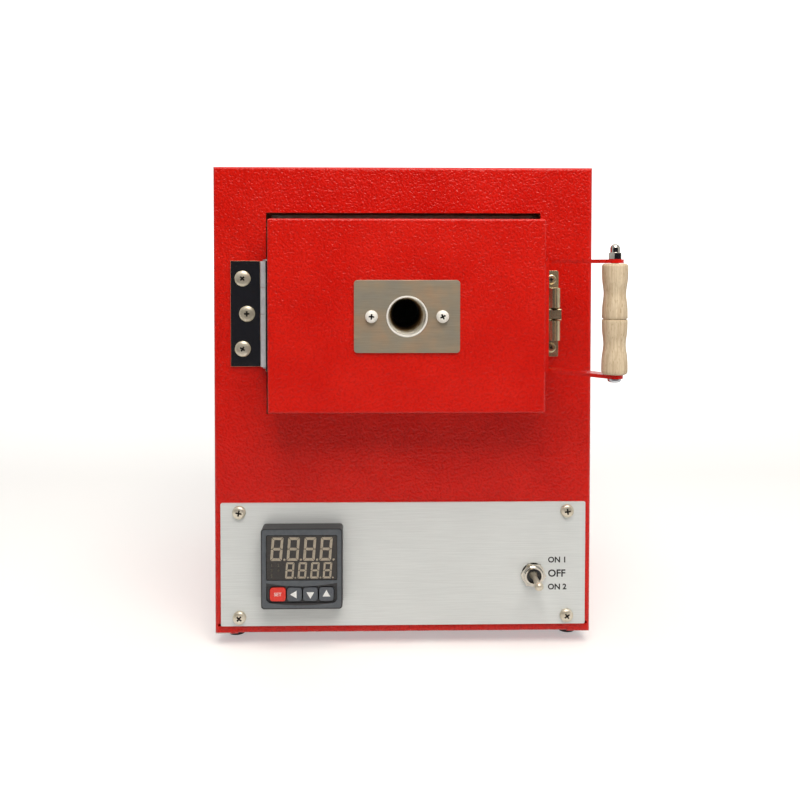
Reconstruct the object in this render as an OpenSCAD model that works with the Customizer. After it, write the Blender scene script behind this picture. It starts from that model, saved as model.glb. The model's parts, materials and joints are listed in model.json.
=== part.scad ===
// Small electric kiln for annealing glass beads, with a side hinged plug door.
// X runs to the viewer's right, the front faces -Y, Z is up.
// The origin is the centre of the base, on the plane the feet stand on.

/* [Casing] */
// Width of the casing over its side folds
body_w = 227.5; // [215:0.5:260]
// Height of the casing without its feet
body_h = 282; // [275:1:320]
// Depth of the casing from front face to rear edge
body_d = 250; // [240:1:300]
// Thickness of the casing sheet
sheet_t = 1.2; // [0.8:0.1:1.6]
// Outside radius of the casing's folds
fold_r = 2.5; // [2:0.1:3.5]
// Depth of the flanges folded back from the front panel
flange_d = 14; // [10:0.5:16]
// Clearance between sheets that slide into each other
sheet_fit = 0.3; // [0.2:0.05:0.5]
// Height of the rubber feet below the casing
foot_h = 7.5; // [6:0.5:12]
// Diameter of a foot where it meets the base
foot_d = 13; // [11:0.5:15]
// Distance of the feet from the casing's sides
foot_inset_x = 9.75; // [9.5:0.25:16]
// Distance of the feet from the front and rear faces
foot_inset_y = 22; // [20:0.5:40]

/* [Door] */
// Width of the door box
door_w = 158; // [150:0.5:160]
// Height of the door box
door_h = 110.6; // [104:0.2:114]
// Depth of the folded door box
door_d = 36; // [30:0.5:40]
// How far the closed door stands out from the front panel
door_out = 30; // [26:0.5:32]
// Distance of the door's centre below the casing's top
door_down = 87.7; // [84:0.1:92]
// Distance of the door's centre right of the casing's centre
door_right = 1.2; // [-4:0.1:4]
// Gap between the door and the opening on the hinge side
gap_hinge_side = 4.4; // [4:0.1:5]
// Gap between the door and the opening on the catch side
gap_catch_side = 2.1; // [2:0.1:4]
// Gap between the opening and the door's top and bottom edges
gap_ends = 5; // [4:0.1:7]
// Gap between the plug of the door and the collar round it
plug_gap = 5; // [4:0.5:8]
// Depth of the collar that lines the opening
collar_d = 25; // [20:0.5:28]

/* [Chamber] */
// Width of the firing chamber
chamber_w = 110; // [100:1:116]
// Height of the firing chamber
chamber_h = 65; // [60:1:68]
// Depth of the firing chamber
chamber_d = 120; // [100:1:125]
// Wall of the moulded fibre muffle
muffle_t = 18; // [16:0.5:19]
// Thickness of the insulating boards round the muffle
board_t = 25; // [20:0.5:26]
// Diameter of the heating wire
wire_d = 3; // [2:0.1:3.4]
// Distance between neighbouring passes of the heating wire
wire_pitch = 14; // [12:0.5:15]

/* [Peephole] */
// Width of the plate round the peephole
peep_plate_w = 60; // [54:0.5:66]
// Height of the plate round the peephole
peep_plate_h = 41.2; // [38:0.2:46]
// Outer diameter of the peephole sleeve
peep_sleeve_d = 23.5; // [22:0.5:26]
// Diameter of the hole through the sleeve
peep_hole_d = 21.5; // [18:0.5:21.5]
// Diameter of the narrow inner end of the peephole
peep_inner_d = 16; // [12:0.5:17]
// Distance between the two peephole screws
peep_screw_pitch = 40.2; // [36:0.2:44]

/* [Hinge] */
// Length of the butt hinge
hinge_l = 63; // [56:1:70]
// Thickness of the hinge leaves
leaf_t = 1.5; // [1.2:0.1:1.8]
// Reach of a hinge leaf from the pin's axis
leaf_reach = 21.5; // [20:0.5:23]
// Outer diameter of the hinge knuckles
knuckle_d = 7; // [6:0.2:7.4]
// Diameter of the hinge pin
pin_d = 3; // [2:0.1:4]

/* [Handle] */
// Length of the turned wooden grip
grip_l = 60; // [54:1:66]
// Largest diameter of the wooden grip
grip_d = 14.8; // [13:0.2:16]
// Thickness of the handle strap
strap_t = 2; // [1.5:0.1:2.5]
// How far the grip's axis lies to the side of the door
grip_out_x = 32.7; // [28:0.5:38]
// How far the grip's axis lies in front of the door's front face
grip_out_y = 24; // [18:0.5:30]
// Diameter of the bolt through the grip
grip_bolt_d = 4; // [3:0.5:5]

/* [Catch] */
// Length of the catch's base plate
catch_l = 51.6; // [48:0.2:58]
// Diameter of the catch's two barrels
barrel_d = 9; // [8.6:0.1:10]
// Gap between the two barrels
barrel_gap = 7.6; // [7:0.1:9]
// Length of a barrel
barrel_l = 11.8; // [11.4:0.2:13]
// Diameter of a catch ball
ball_d = 5; // [4.4:0.1:5.4]
// How far a ball stands out of its barrel
ball_out = 1.2; // [1:0.05:1.4]
// Distance of the catch's centre line from the door's side
catch_out = 8.6; // [8.2:0.1:10]

/* [Controls] */
// Width of the brushed control plate
plate_w = 220; // [212:0.5:222]
// Height of the brushed control plate
plate_h = 74.5; // [70:0.5:80]
// Thickness of the control plate
plate_t = 1.5; // [1:0.1:2]
// Height of the control plate's centre above the casing's bottom edge
plate_cz = 43.1; // [42.5:0.1:48]
// Side of the square controller bezel
bezel_w = 48; // [47.6:0.1:48]
// How far the controller bezel stands out from the control plate
bezel_out = 10.4; // [9:0.1:12]
// Distance of the controller's centre left of the plate's centre
controller_x = 60.5; // [50:0.5:70]
// Distance of the switch's centre right of the plate's centre
switch_x = 78.4; // [66:0.2:84]
// Travel of a controller key
key_travel = 0.6; // [0.4:0.1:0.8]

/* [Hidden] */
$fn = 48;

red = "#c8241a";
steel = "#b9bcc0";
brass = "#c9a763";
fibre = "#e6e0d2";
dark = "#26262a";

seat = 0.3;
front_y = -body_d / 2;
z0 = foot_h;
base_step = 0.65;
base_z = z0 + base_step + sheet_t;
top_z = z0 + body_h;
rear_y = body_d / 2;
inner_front_y = front_y + sheet_t;

cover_w = body_w - 2 * (sheet_t + sheet_fit);
cover_in_w = cover_w - 2 * sheet_t;
cover_top = top_z - sheet_t - sheet_fit;
rear_w = cover_in_w - 2 * sheet_fit;
base_flange = 15;
foot_screw_d = 3;
foot_screw_head = 5.6;
foot_sink = 5;
rear_inset = 0.5;
fold_in_r = fold_r - sheet_t;
base_flange_d = 12;
side_screw_ys = [-0.32 * body_d, 0.28 * body_d];
side_screw_up = 8;
rear_screw_in = 7;
rear_screw_zs = [top_z - 40, base_z + 80];
base_screw_x = 60;
base_screw_in = 8;

door_z = top_z - door_down;
door_x = door_right;
door_x0 = door_x - door_w / 2;
door_x1 = door_x + door_w / 2;
door_front_y = front_y - door_out;
door_rear_y = door_front_y + door_d;
open_x0 = door_x0 - gap_hinge_side;
open_x1 = door_x1 + gap_catch_side;
open_w = open_x1 - open_x0;
open_x = (open_x0 + open_x1) / 2;
open_h = door_h + 2 * gap_ends;
collar_t = 0.9;
collar_y1 = inner_front_y + collar_d;
muffle_y0 = collar_y1 + seat;
plug_w = door_w - 2 * plug_gap;
plug_h = door_h - 2 * plug_gap;
plug_y1 = muffle_y0 - 0.5;

muffle_w = chamber_w + 2 * muffle_t;
muffle_h = chamber_h + 2 * muffle_t;
muffle_y1 = muffle_y0 + chamber_d + muffle_t;
stack_w = muffle_w + 2 * board_t;
stack_y1 = muffle_y1 + board_t;
shelf_z = door_z - muffle_h / 2 - board_t;
back_plate_t = 1;
back_y0 = stack_y1 + seat;
back_y1 = back_y0 + back_plate_t;

pin_gap = 0.3;
pin_x = door_x0 - knuckle_d / 2 - pin_gap;
pin_y = front_y - knuckle_d / 2 - pin_gap;
hinge_z0 = door_z - hinge_l / 2;
knuckles = 4;
knuckle_l = hinge_l / knuckles;
knuckle_clear = 0.15;
hinge_rows = [[-1, 14.4], [0, 11.8], [1, 14.4]];
hinge_screw_pitch = 21;
hinge_screw_d = 4.8;

catch_x = door_x1 + catch_out;
catch_base_t = 1.5;
catch_y = front_y - 6;
catch_screw_pitch = 41;
ball_clear = 0.07;
lip_t = 0.3;
mouth_d = ball_d - 0.4;
spring_wire = 0.5;
ball_z = barrel_gap / 2 - ball_out + ball_d / 2;
plug_l = 2.5;

strap_cz = grip_l / 2 + 0.2 + strap_t / 2;
bracket_y0 = door_front_y + 2;
bracket_y1 = door_front_y + 18;
grip_x = door_x1 + grip_out_x;
grip_y = door_front_y - grip_out_y;
strap_end_r = 4.6;

plate_x = 0.2;
plate_z = z0 + plate_cz;
plate_front_y = front_y - plate_t;
ctl_x = plate_x - controller_x;
ctl_z = plate_z + 1;
ctl_front_y = plate_front_y - bezel_out;
case_w = 44.6;
case_d = 80;
face_y = ctl_front_y + 1.2;
window_w = 42;
window_h = 27;
window_z = ctl_z + bezel_w / 2 - 17.4;
key_h = 8.1;
key_z = ctl_z - bezel_w / 2 + 8.7;
key_gap = 0.3;
key_r = 1.8;
key_specs = [[-18.1, 9.3], [-8.3, 8.7], [1.1, 8.7], [10.6, 8.7]];
key_shift_x = 3.95;
key_tail = 6.2;

sw_x = plate_x + switch_x;
sw_z = plate_z - 6.8;
bush_d = 11.8;
bush_bore = 9;
bush_out = 3.9;
nut_flats = 13.2;
nut_t = 1.9;
washer_t = 0.4;
lever_len = 22.2;
lever_tip_r = 2.6;
lever_ball_d = 5.2;
lever_pin_d = 1.5;
lever_pin_l = 7;
lever_pivot_y = plate_front_y - 0.5;

// Shared shapes

module round_rect(w, h, r) {
    square([w - 2 * r, h], center = true);
    square([w, h - 2 * r], center = true);
    for (sx = [-1, 1], sz = [-1, 1])
        translate([sx * (w / 2 - r), sz * (h / 2 - r)]) circle(r);
}

// A plate facing -Y between two depths, with rounded corners
module slab_y(w, h, y0, y1, r) {
    translate([0, y1, 0]) rotate([90, 0, 0]) linear_extrude(y1 - y0) round_rect(w, h, r);
}

module rod_y(d, y0, y1) {
    translate([0, y0, 0]) rotate([-90, 0, 0]) cylinder(d = d, h = y1 - y0);
}

module rod_x(d, x0, x1) {
    translate([x0, 0, 0]) rotate([0, 90, 0]) cylinder(d = d, h = x1 - x0);
}

// Outline of folded sheet seen along the fold, with its two outer corners rounded
module fold_outline(w, d, r) {
    translate([-w / 2 + r, 0]) square([w - 2 * r, d]);
    translate([-w / 2, r]) square([w, d - r]);
    for (s = [-1, 1]) translate([s * (w / 2 - r), r]) circle(r);
}

// A block whose face at y = 0 has all four edges rounded by a fold
module folded_block(w, h, d, r) {
    intersection() {
        linear_extrude(h) fold_outline(w, d, r);
        translate([-w / 2, 0, h / 2]) rotate([90, 0, 90]) linear_extrude(w)
            mirror([1, -1, 0]) fold_outline(h, d, r);
    }
}

module folded_tray(w, h, d, t, r) {
    difference() {
        folded_block(w, h, d, r);
        translate([0, t, t]) folded_block(w - 2 * t, h - 2 * t, d + 1, r - t);
    }
}

// A pan or countersunk screw with its head's seat at the origin, driven along +Y
module pan_screw(d, head_d, head_h, len) {
    rotate([90, 0, 0]) rotate_extrude() {
        translate([0, -len]) square([d / 2, len + 0.01]);
        square([head_d / 2 - 0.8, head_h]);
        square([head_d / 2, head_h - 0.8]);
        intersection() {
            translate([head_d / 2 - 0.8, head_h - 0.8]) circle(0.8);
            square([head_d, head_h]);
        }
    }
}

// Sinks below the face by sink and rises to a low dome above it
module sunk_screw(d, head_d, sink, rise, len) {
    dome_r = (pow(head_d / 2, 2) + pow(rise, 2)) / (2 * rise);
    rotate([90, 0, 0]) rotate_extrude() {
        translate([0, -len]) square([d / 2, len]);
        polygon([[0, -sink], [d / 2, -sink], [head_d / 2, 0], [0, 0]]);
        intersection() {
            translate([0, rise - dome_r]) circle(dome_r);
            square([head_d / 2, rise]);
        }
    }
}

// The hole that a sunk screw sits in
module sunk_hole(d, head_d, sink, len) {
    rotate([90, 0, 0]) rotate_extrude()
        polygon([[0, -len], [d / 2 + 0.05, -len], [d / 2 + 0.05, -sink - 0.05],
            [head_d / 2 + 0.05, 0], [head_d / 2 + 0.05, 0.5], [0, 0.5]]);
}

// Casing

module front_panel_tray() {
    half_band = 100;
    step_top = body_h - base_step;
    for (s = [-1, 1]) intersection() {
        translate([0, front_y, z0]) folded_tray(body_w, body_h, flange_d, sheet_t, fold_r);
        translate([s > 0 ? half_band : -body_w, front_y - 1, z0 - 1])
            cube([body_w - half_band, flange_d + 2, body_h + 2]);
    }
    intersection() {
        translate([0, front_y, z0 + base_step])
            folded_tray(body_w, step_top, flange_d, sheet_t, fold_r);
        translate([-half_band, front_y - 1, z0]) cube([2 * half_band, flange_d + 2, body_h + 1]);
    }
}

module front_panel() {
    notch_d = 1.8;
    notch_in = 2.8;
    notch_up = 6;
    half_gap = 100;
    color(red) difference() {
        front_panel_tray();
        translate([open_x0, front_y - 1, door_z - open_h / 2])
            cube([open_w, sheet_t + 2, open_h]);
        translate([ctl_x - case_w / 2 - 0.3, front_y - 1, ctl_z - case_w / 2 - 0.3])
            cube([case_w + 0.6, sheet_t + 2, case_w + 0.6]);
        translate([sw_x, 0, sw_z]) rod_y(bush_d + 0.4, front_y - 1, inner_front_y + 1);
        control_screw_places() rod_y(4.2, front_y - 1, inner_front_y + 1);
        hinge_places() rod_y(hinge_screw_d + 0.2, front_y - 1, inner_front_y + 1);
        catch_screw_places() rod_y(3.2, front_y - 1, inner_front_y + 1);
        for (s = [-1, 1]) translate([s * (body_w / 2 - notch_in), 0, z0 + notch_up])
            rod_y(notch_d, front_y - 1, inner_front_y + 1);
        base_screw_places() translate([0, 0, -1]) cylinder(d = 3.4, h = 4);
        translate([-half_gap, front_y + base_flange_d, z0 - 1])
            cube([2 * half_gap, flange_d, sheet_t + 3]);
    }
}

// Screws from below, through the front panel's lowest flange into the base
module base_screw_places() {
    for (s = [-1, 1]) translate([s * base_screw_x, front_y + base_screw_in, z0 + base_step])
        children();
}

module cover_outline(w, r) {
    translate([0, cover_top]) mirror([0, 1]) fold_outline(w, cover_top - base_z, r);
}

module wrap_cover() {
    y0 = inner_front_y + fold_in_r + 0.1;
    color(red) difference() {
        translate([0, rear_y, 0]) rotate([90, 0, 0]) linear_extrude(rear_y - y0) difference() {
            cover_outline(cover_w, fold_r);
            translate([0, -sheet_t]) cover_outline(cover_in_w, fold_in_r);
            translate([-cover_in_w / 2, base_z - 1]) square([cover_in_w, 20]);
        }
        case_screw_places() rotate([0, 90, 0]) cylinder(d = 3.6, h = 6, center = true);
    }
}

// Screws through the cover's sides, into the base and the rear panel
module case_screw_places() {
    for (s = [0, 1]) mirror([s, 0, 0]) {
        for (y = side_screw_ys) translate([cover_w / 2, y, base_z + side_screw_up]) children();
        for (z = rear_screw_zs) translate([cover_w / 2, rear_y - rear_screw_in, z]) children();
    }
}

module case_screws() {
    color(steel) case_screw_places() rotate([0, 0, 90]) pan_screw(3, 6, 2, 6);
    color(steel) base_screw_places() rotate([90, 0, 0]) pan_screw(3, 6, 2, 6);
}

module vent_slots(count, pitch, len) {
    for (i = [0 : count - 1]) translate([(i - (count - 1) / 2) * pitch, 0, 0])
        slab_y(3, len, -3, 3, 1.4);
}

module rear_panel() {
    y1 = rear_y - rear_inset;
    h = cover_top - sheet_t - sheet_fit - base_z;
    color(red) difference() {
        intersection() {
            translate([0, y1, base_z + h]) rotate([180, 0, 0])
                folded_tray(rear_w, h, 12, sheet_t, fold_in_r);
            translate([0, y1 + 1, base_z + h]) rotate([90, 0, 0]) linear_extrude(20)
                mirror([0, 1]) fold_outline(rear_w, h + 1, fold_r);
        }
        translate([-rear_w / 2 - 1, y1 - 20, base_z - 1])
            cube([rear_w + 2, 20 - sheet_t, base_flange + 3]);
        translate([-45, y1, base_z + 60]) vent_slots(count = 9, pitch = 7, len = 30);
        translate([30, y1, shelf_z + 90]) vent_slots(count = 9, pitch = 7, len = 30);
        translate([inlet_x, y1 + 1, inlet_z]) slab_y(inlet_w + 0.4, inlet_h + 0.4, -4, 2, 3);
        inlet_screw_places() rod_y(3.2, y1 - 3, y1 + 1);
        for (s = [-1, 1], z = rear_screw_zs)
            translate([s * rear_w / 2, rear_y - rear_screw_in, z]) rotate([0, 90, 0])
                cylinder(d = 3.1, h = 6, center = true);
    }
}

module base_plate() {
    y0 = inner_front_y + fold_in_r + 0.15;
    y1 = rear_y - rear_inset - sheet_t - sheet_fit;
    w = cover_in_w - 2 * sheet_fit;
    color(red) difference() {
        translate([0, y1, base_z]) rotate([90, 0, 0])
            folded_tray_up(w, y1 - y0);
        translate([-w, y0 - 1, base_z + sheet_t]) cube([2 * w, 4, base_flange]);
        foot_places() translate([0, 0, base_z - 1]) cylinder(d = foot_screw_d + 0.2, h = 4);
        for (i = [-6 : 6]) translate([i * 9, 30, base_z - 1]) linear_extrude(4)
            round_rect(3, 60, 1.4);
        base_screw_places() cylinder(d = 3.1, h = 4);
        for (s = [-1, 1], y = side_screw_ys) translate([s * w / 2, y, base_z + side_screw_up])
            rotate([0, 90, 0]) cylinder(d = 3.1, h = 6, center = true);
    }
}

// The base sheet with flanges folded up round it
module folded_tray_up(w, l) {
    rotate([-90, 0, 0]) translate([0, -l, 0]) difference() {
        translate([-w / 2, 0, 0]) cube([w, l, base_flange]);
        translate([-w / 2 + sheet_t, sheet_t, sheet_t])
            cube([w - 2 * sheet_t, l - 2 * sheet_t, base_flange]);
    }
}

module foot_places() {
    for (s = [-1, 1], t = [-1, 1])
        translate([s * (body_w / 2 - foot_inset_x), t * (body_d / 2 - foot_inset_y), 0]) children();
}

module rubber_feet() {
    color(dark) foot_places() rotate_extrude() difference() {
        union() {
            translate([0, 1]) square([foot_d / 2 - 0.9, base_z - 1]);
            square([foot_d / 2 - 1.9, base_z]);
            polygon([[foot_d / 2 - 0.9, 1], [foot_d / 2, base_z], [0, base_z], [0, 1]]);
            translate([foot_d / 2 - 1.9, 1]) circle(1);
        }
        square([foot_screw_head / 2 + 0.3, foot_sink]);
        square([foot_screw_d / 2 + 0.1, base_z + 1]);
    }
}

module foot_screws() {
    color(steel) foot_places() translate([0, 0, foot_sink]) rotate([90, 0, 0])
        pan_screw(foot_screw_d, foot_screw_head, 2, base_z + sheet_t - foot_sink + 2);
}

// Opening, muffle and what carries it

module opening_collar() {
    lip = 6;
    color("#6f6256") difference() {
        union() {
            translate([open_x, 0, door_z])
                slab_y(open_w + 2 * collar_t, open_h + 2 * collar_t, inner_front_y, collar_y1, 1);
            translate([open_x, 0, door_z]) slab_y(open_w + 2 * lip, open_h + 2 * lip,
                inner_front_y, inner_front_y + collar_t, 1);
        }
        translate([open_x, 0, door_z])
            slab_y(open_w, open_h, inner_front_y - 1, collar_y1 + 1, 0.5);
        hinge_places() rod_y(hinge_screw_d + 3, front_y, front_y + 6);
        catch_screw_places() rod_y(5, front_y, front_y + 6);
    }
}

module chassis_shelf() {
    w = cover_in_w - 2 * (sheet_fit + sheet_t + seat);
    y0 = front_y + flange_d + 2;
    y1 = rear_y - flange_d - 2;
    color(steel) difference() {
        translate([0, y1, 0]) rotate([90, 0, 0]) linear_extrude(y1 - y0) difference() {
            translate([0, shelf_z]) mirror([0, 1]) fold_outline(w, shelf_z - base_z - sheet_t, 2.5);
            translate([-w / 2 + sheet_t, base_z]) square([w - 2 * sheet_t, shelf_z - base_z - sheet_t]);
        }
        for (s = [-1, 1], y = side_screw_ys) translate([s * w / 2, y, base_z + side_screw_up])
            rotate([0, 90, 0]) cylinder(d = 4, h = 8, center = true);
        foot_places() cylinder(d = 9, h = base_z + 6);
        for (i = [-5 : 5]) translate([i * 14, 95, shelf_z - 4]) linear_extrude(8)
            round_rect(4, 20, 1.9);
    }
}

// Winding of one element in the plane of its wall: depth, then height
pass_z = [for (i = [0 : 3]) (i - 1.5) * wire_pitch];
pass_y0 = muffle_y0 + 14;
pass_y1 = muffle_y0 + chamber_d - 14;

module element_groove(w, deep) {
    rotate([90, 0, 90]) linear_extrude(deep) {
        for (z = pass_z) translate([pass_y0, z - w / 2]) square([pass_y1 - pass_y0, w]);
        for (i = [0, 2]) half_ring(pass_y0, (pass_z[i] + pass_z[i + 1]) / 2, w, -1);
        half_ring(pass_y1, 0, w, 1);
        for (i = [0, 3]) translate([pass_y1 - 0.01, pass_z[i] - w / 2]) square([15, w]);
    }
}

module half_ring(y, z, w, side) {
    translate([y, z]) intersection() {
        difference() {
            circle(wire_pitch / 2 + w / 2);
            circle(wire_pitch / 2 - w / 2);
        }
        translate([side > 0 ? 0 : -wire_pitch * 2, -wire_pitch]) square(wire_pitch * 2);
    }
}

module muffle() {
    groove_w = wire_d + 2;
    groove_deep = wire_d + 1.5;
    color(fibre) difference() {
        translate([-muffle_w / 2, muffle_y0, door_z - muffle_h / 2])
            cube([muffle_w, muffle_y1 - muffle_y0, muffle_h]);
        translate([0, 0, door_z]) slab_y(chamber_w, chamber_h, muffle_y0 - 1,
            muffle_y0 + chamber_d, 3);
        translate([-chamber_w / 2 - groove_deep, 0, door_z]) element_groove(groove_w, groove_deep + 1);
        translate([chamber_w / 2 - 1, 0, door_z]) element_groove(groove_w, groove_deep + 1);
        tail_places() rod_y(wire_d + 1, muffle_y0 + chamber_d - 2, muffle_y1 + 1);
        thermocouple_place() rod_y(probe_d + 0.6, muffle_y0 + chamber_d - 1, muffle_y1 + 1);
    }
}

element_x = chamber_w / 2 + wire_d / 2 + 0.9;
probe_d = 5;
terminal_d = 18;

module tail_places() {
    for (s = [-1, 1], i = [0, 3]) translate([s * element_x, 0, door_z + pass_z[i]]) children();
}

module thermocouple_place() {
    translate([0, 0, door_z + 12]) children();
}

module element(side) {
    bend_r = wire_pitch / 2;
    tail_y = back_y1 + 10;
    color("#8a8580") translate([side * element_x, 0, door_z]) {
        for (i = [0 : 3]) translate([0, 0, pass_z[i]])
            rod_y(wire_d, pass_y0, i == 0 || i == 3 ? tail_y : pass_y1);
        for (i = [0, 2]) translate([0, pass_y0, (pass_z[i] + pass_z[i + 1]) / 2])
            rotate([0, 90, 0]) rotate([0, 0, 180]) rotate_extrude(angle = 180)
                translate([bend_r, 0]) circle(d = wire_d);
        translate([0, pass_y1, 0]) rotate([0, 90, 0]) rotate_extrude(angle = 180)
            translate([bend_r, 0]) circle(d = wire_d);
    }
}

module element_left() {
    element(-1);
}

module element_right() {
    element(1);
}

module insulation_block(x0, x1, y0, y1, za, zb) {
    translate([x0, y0, za]) cube([x1 - x0, y1 - y0, zb - za]);
}

module insulation_floor() {
    color(fibre) insulation_block(-stack_w / 2, stack_w / 2, muffle_y0, stack_y1, shelf_z,
        shelf_z + board_t);
}

module insulation_roof() {
    color(fibre) insulation_block(-stack_w / 2, stack_w / 2, muffle_y0, stack_y1,
        door_z + muffle_h / 2, door_z + muffle_h / 2 + board_t);
}

module insulation_sides() {
    color(fibre) for (s = [-1, 1]) insulation_block(s > 0 ? muffle_w / 2 : -stack_w / 2,
        s > 0 ? stack_w / 2 : -muffle_w / 2, muffle_y0, muffle_y1,
        door_z - muffle_h / 2, door_z + muffle_h / 2);
}

module insulation_rear() {
    color(fibre) difference() {
        insulation_block(-stack_w / 2, stack_w / 2, muffle_y1, stack_y1,
            door_z - muffle_h / 2, door_z + muffle_h / 2);
        tail_places() rod_y(wire_d + 1, muffle_y1 - 1, stack_y1 + 1);
        thermocouple_place() rod_y(probe_d + 0.6, muffle_y1 - 1, stack_y1 + 1);
    }
}

module muffle_back_plate() {
    h = muffle_h + 2 * board_t;
    color(steel) difference() {
        union() {
            insulation_block(-stack_w / 2, stack_w / 2, back_y0, back_y1, shelf_z, shelf_z + h);
            insulation_block(-stack_w / 2, stack_w / 2, back_y0, back_y0 + 12, shelf_z,
                shelf_z + back_plate_t);
            insulation_block(-stack_w / 2, stack_w / 2, stack_y1 - 20, back_y1, shelf_z + h,
                shelf_z + h + back_plate_t);
        }
        tail_places() rod_y(wire_d + 5, back_y0 - 1, back_y1 + 1);
        thermocouple_place() rod_y(probe_d + 0.6, back_y0 - 1, back_y1 + 1);
    }
}

module terminal_blocks() {
    h = 3 * wire_pitch + 14;
    color("#efece4") for (s = [-1, 1]) translate([s * element_x, 0, door_z]) difference() {
        slab_y(terminal_d, h, back_y1, back_y1 + 16, 3);
        for (i = [0, 3]) translate([0, 0, pass_z[i]]) {
            rod_y(wire_d + 0.2, back_y1 - 1, back_y1 + 10.1);
            rod_x(4, 0, terminal_d);
        }
        slab_y(terminal_d + 2, wire_pitch, back_y1 + 9, back_y1 + 17, 2);
    }
}

module thermocouple() {
    color("#d8d2c4") thermocouple_place() {
        rod_y(probe_d, muffle_y0 + chamber_d - 18, back_y1 + 1);
        difference() {
            slab_y(24, 14, back_y1, back_y1 + 10, 3);
            for (s = [-1, 1]) translate([s * 7, 0, 0]) rod_y(3.6, back_y1 + 4, back_y1 + 11);
            slab_y(2, 15, back_y1 + 6, back_y1 + 11, 0.6);
        }
    }
}

// Electrics in the space below the shelf

relay_x = 45;
relay_y = 62;
sink_base = 4;
sink_h = 22;

module relay_heat_sink() {
    fins = 9;
    w = 72;
    color("#a9adb2") translate([relay_x, relay_y, base_z + sheet_t]) difference() {
        translate([-w / 2, -40, 0]) cube([w, 80, sink_h]);
        for (i = [0 : fins - 1]) translate([(i - (fins - 1) / 2) * 7.6, -41, -1])
            translate([-2.6, 0, 0]) cube([5.2, 82, sink_h - sink_base + 1]);
    }
}

module solid_state_relay() {
    color("#3a3c40") translate([relay_x, relay_y, base_z + sheet_t + sink_h]) difference() {
        linear_extrude(22) round_rect(44, 57, 2);
        for (sx = [-1, 1], sy = [-1, 1]) translate([sx * 12, sy * 22, 15]) linear_extrude(10)
            round_rect(12, 11, 1);
        for (s = [-1, 1]) translate([0, s * 24, -1]) cylinder(d = 4.5, h = 30);
    }
}

inlet_x = 60;
inlet_z = z0 + 45;
inlet_w = 27.5;
inlet_h = 20;

module inlet_screw_places() {
    for (s = [-1, 1]) translate([inlet_x + s * 20, 0, inlet_z]) children();
}

module power_inlet() {
    y1 = rear_y - rear_inset;
    color(dark) difference() {
        translate([inlet_x, 0, inlet_z]) union() {
            slab_y(50, 22.5, y1, y1 + 3, 4);
            slab_y(inlet_w, inlet_h, y1 - 22, y1 + 1, 3);
        }
        translate([inlet_x, 0, inlet_z]) slab_y(24.6, 16.6, y1 - 17, y1 + 4, 3);
        inlet_screw_places() rod_y(3.4, y1 - 3, y1 + 5);
    }
    color(steel) translate([inlet_x, 0, inlet_z])
        for (p = [[-7, -1.5], [0, 2.5], [7, -1.5]])
            translate([p[0] - 1, y1 - 29, p[1] - 2]) cube([2, 26, 4]);
}

module inlet_screws() {
    color(steel) inlet_screw_places() translate([0, rear_y - rear_inset + 3, 0])
        rotate([0, 0, 180]) pan_screw(3, 5.6, 2, 9);
}

// Control plate, controller and switch

module control_screw_places() {
    for (sx = [-1, 1], sz = [-1, 1])
        translate([plate_x + sx * (plate_w / 2 - 11.2), 0, plate_z + sz * (plate_h / 2 - 5.4)])
            children();
}

module control_plate() {
    color(steel) difference() {
        translate([plate_x, 0, plate_z]) slab_y(plate_w, plate_h, plate_front_y, front_y, 0.8);
        translate([ctl_x - case_w / 2 - 0.3, front_y - 4, ctl_z - case_w / 2 - 0.3])
            cube([case_w + 0.6, 8, case_w + 0.6]);
        translate([sw_x, 0, sw_z]) rod_y(bush_d + 0.4, front_y - 4, front_y + 1);
        control_screw_places() rod_y(4.2, front_y - 4, front_y + 1);
    }
}

module control_plate_screws() {
    color(steel) control_screw_places() translate([0, plate_front_y, 0]) pan_screw(4, 8, 2.6, 8);
}

module controller_case() {
    cavity_y = face_y + key_tail + key_travel + 0.2;
    color(dark) difference() {
        translate([ctl_x, 0, ctl_z]) union() {
            slab_y(bezel_w, bezel_w, ctl_front_y, plate_front_y, 2);
            slab_y(case_w, case_w, plate_front_y - 1, plate_front_y + case_d, 1.5);
        }
        translate([ctl_x, 0, window_z]) slab_y(window_w, window_h, ctl_front_y - 1, face_y, 1.2);
        translate([ctl_x, 0, key_z]) slab_y(window_w, key_h + 2.4, ctl_front_y - 1, face_y, 1.5);
        for (k = key_specs) translate([ctl_x + k[0] + key_shift_x, 0, key_z])
            slab_y(k[1] + 2 * key_gap, key_h + 2 * key_gap, face_y - 1, cavity_y, key_r + key_gap);
        for (s = [-1, 1]) translate([ctl_x + s * case_w / 2, plate_front_y + 30, ctl_z])
            rotate([0, 90, 0]) linear_extrude(2, center = true) square([8, 50], center = true);
    }
}

module controller_window() {
    color("#15181c") translate([ctl_x, 0, window_z])
        slab_y(window_w - 0.2, window_h - 0.2, face_y - 0.9, face_y, 1.1);
}

module controller_clip() {
    color("#33363a") translate([ctl_x, 0, ctl_z]) difference() {
        union() {
            slab_y(54, 54, inner_front_y, inner_front_y + 5, 2);
            slab_y(56, 14, inner_front_y, inner_front_y + 14, 2);
        }
        slab_y(case_w + 0.4, case_w + 0.4, inner_front_y - 1, inner_front_y + 15, 1);
    }
}

module key(i) {
    translate([ctl_x + key_specs[i][0] + key_shift_x, 0, key_z]) {
        slab_y(key_specs[i][1], key_h, face_y - 1, face_y + 4.5, key_r);
        slab_y(3, 3, face_y + 4, face_y + key_tail, 0.6);
    }
}

module key_mode() {
    color(red) key(0);
}

module key_left() {
    color("#7d828a") key(1);
}

module key_down() {
    color("#7d828a") key(2);
}

module key_up() {
    color("#7d828a") key(3);
}

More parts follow.
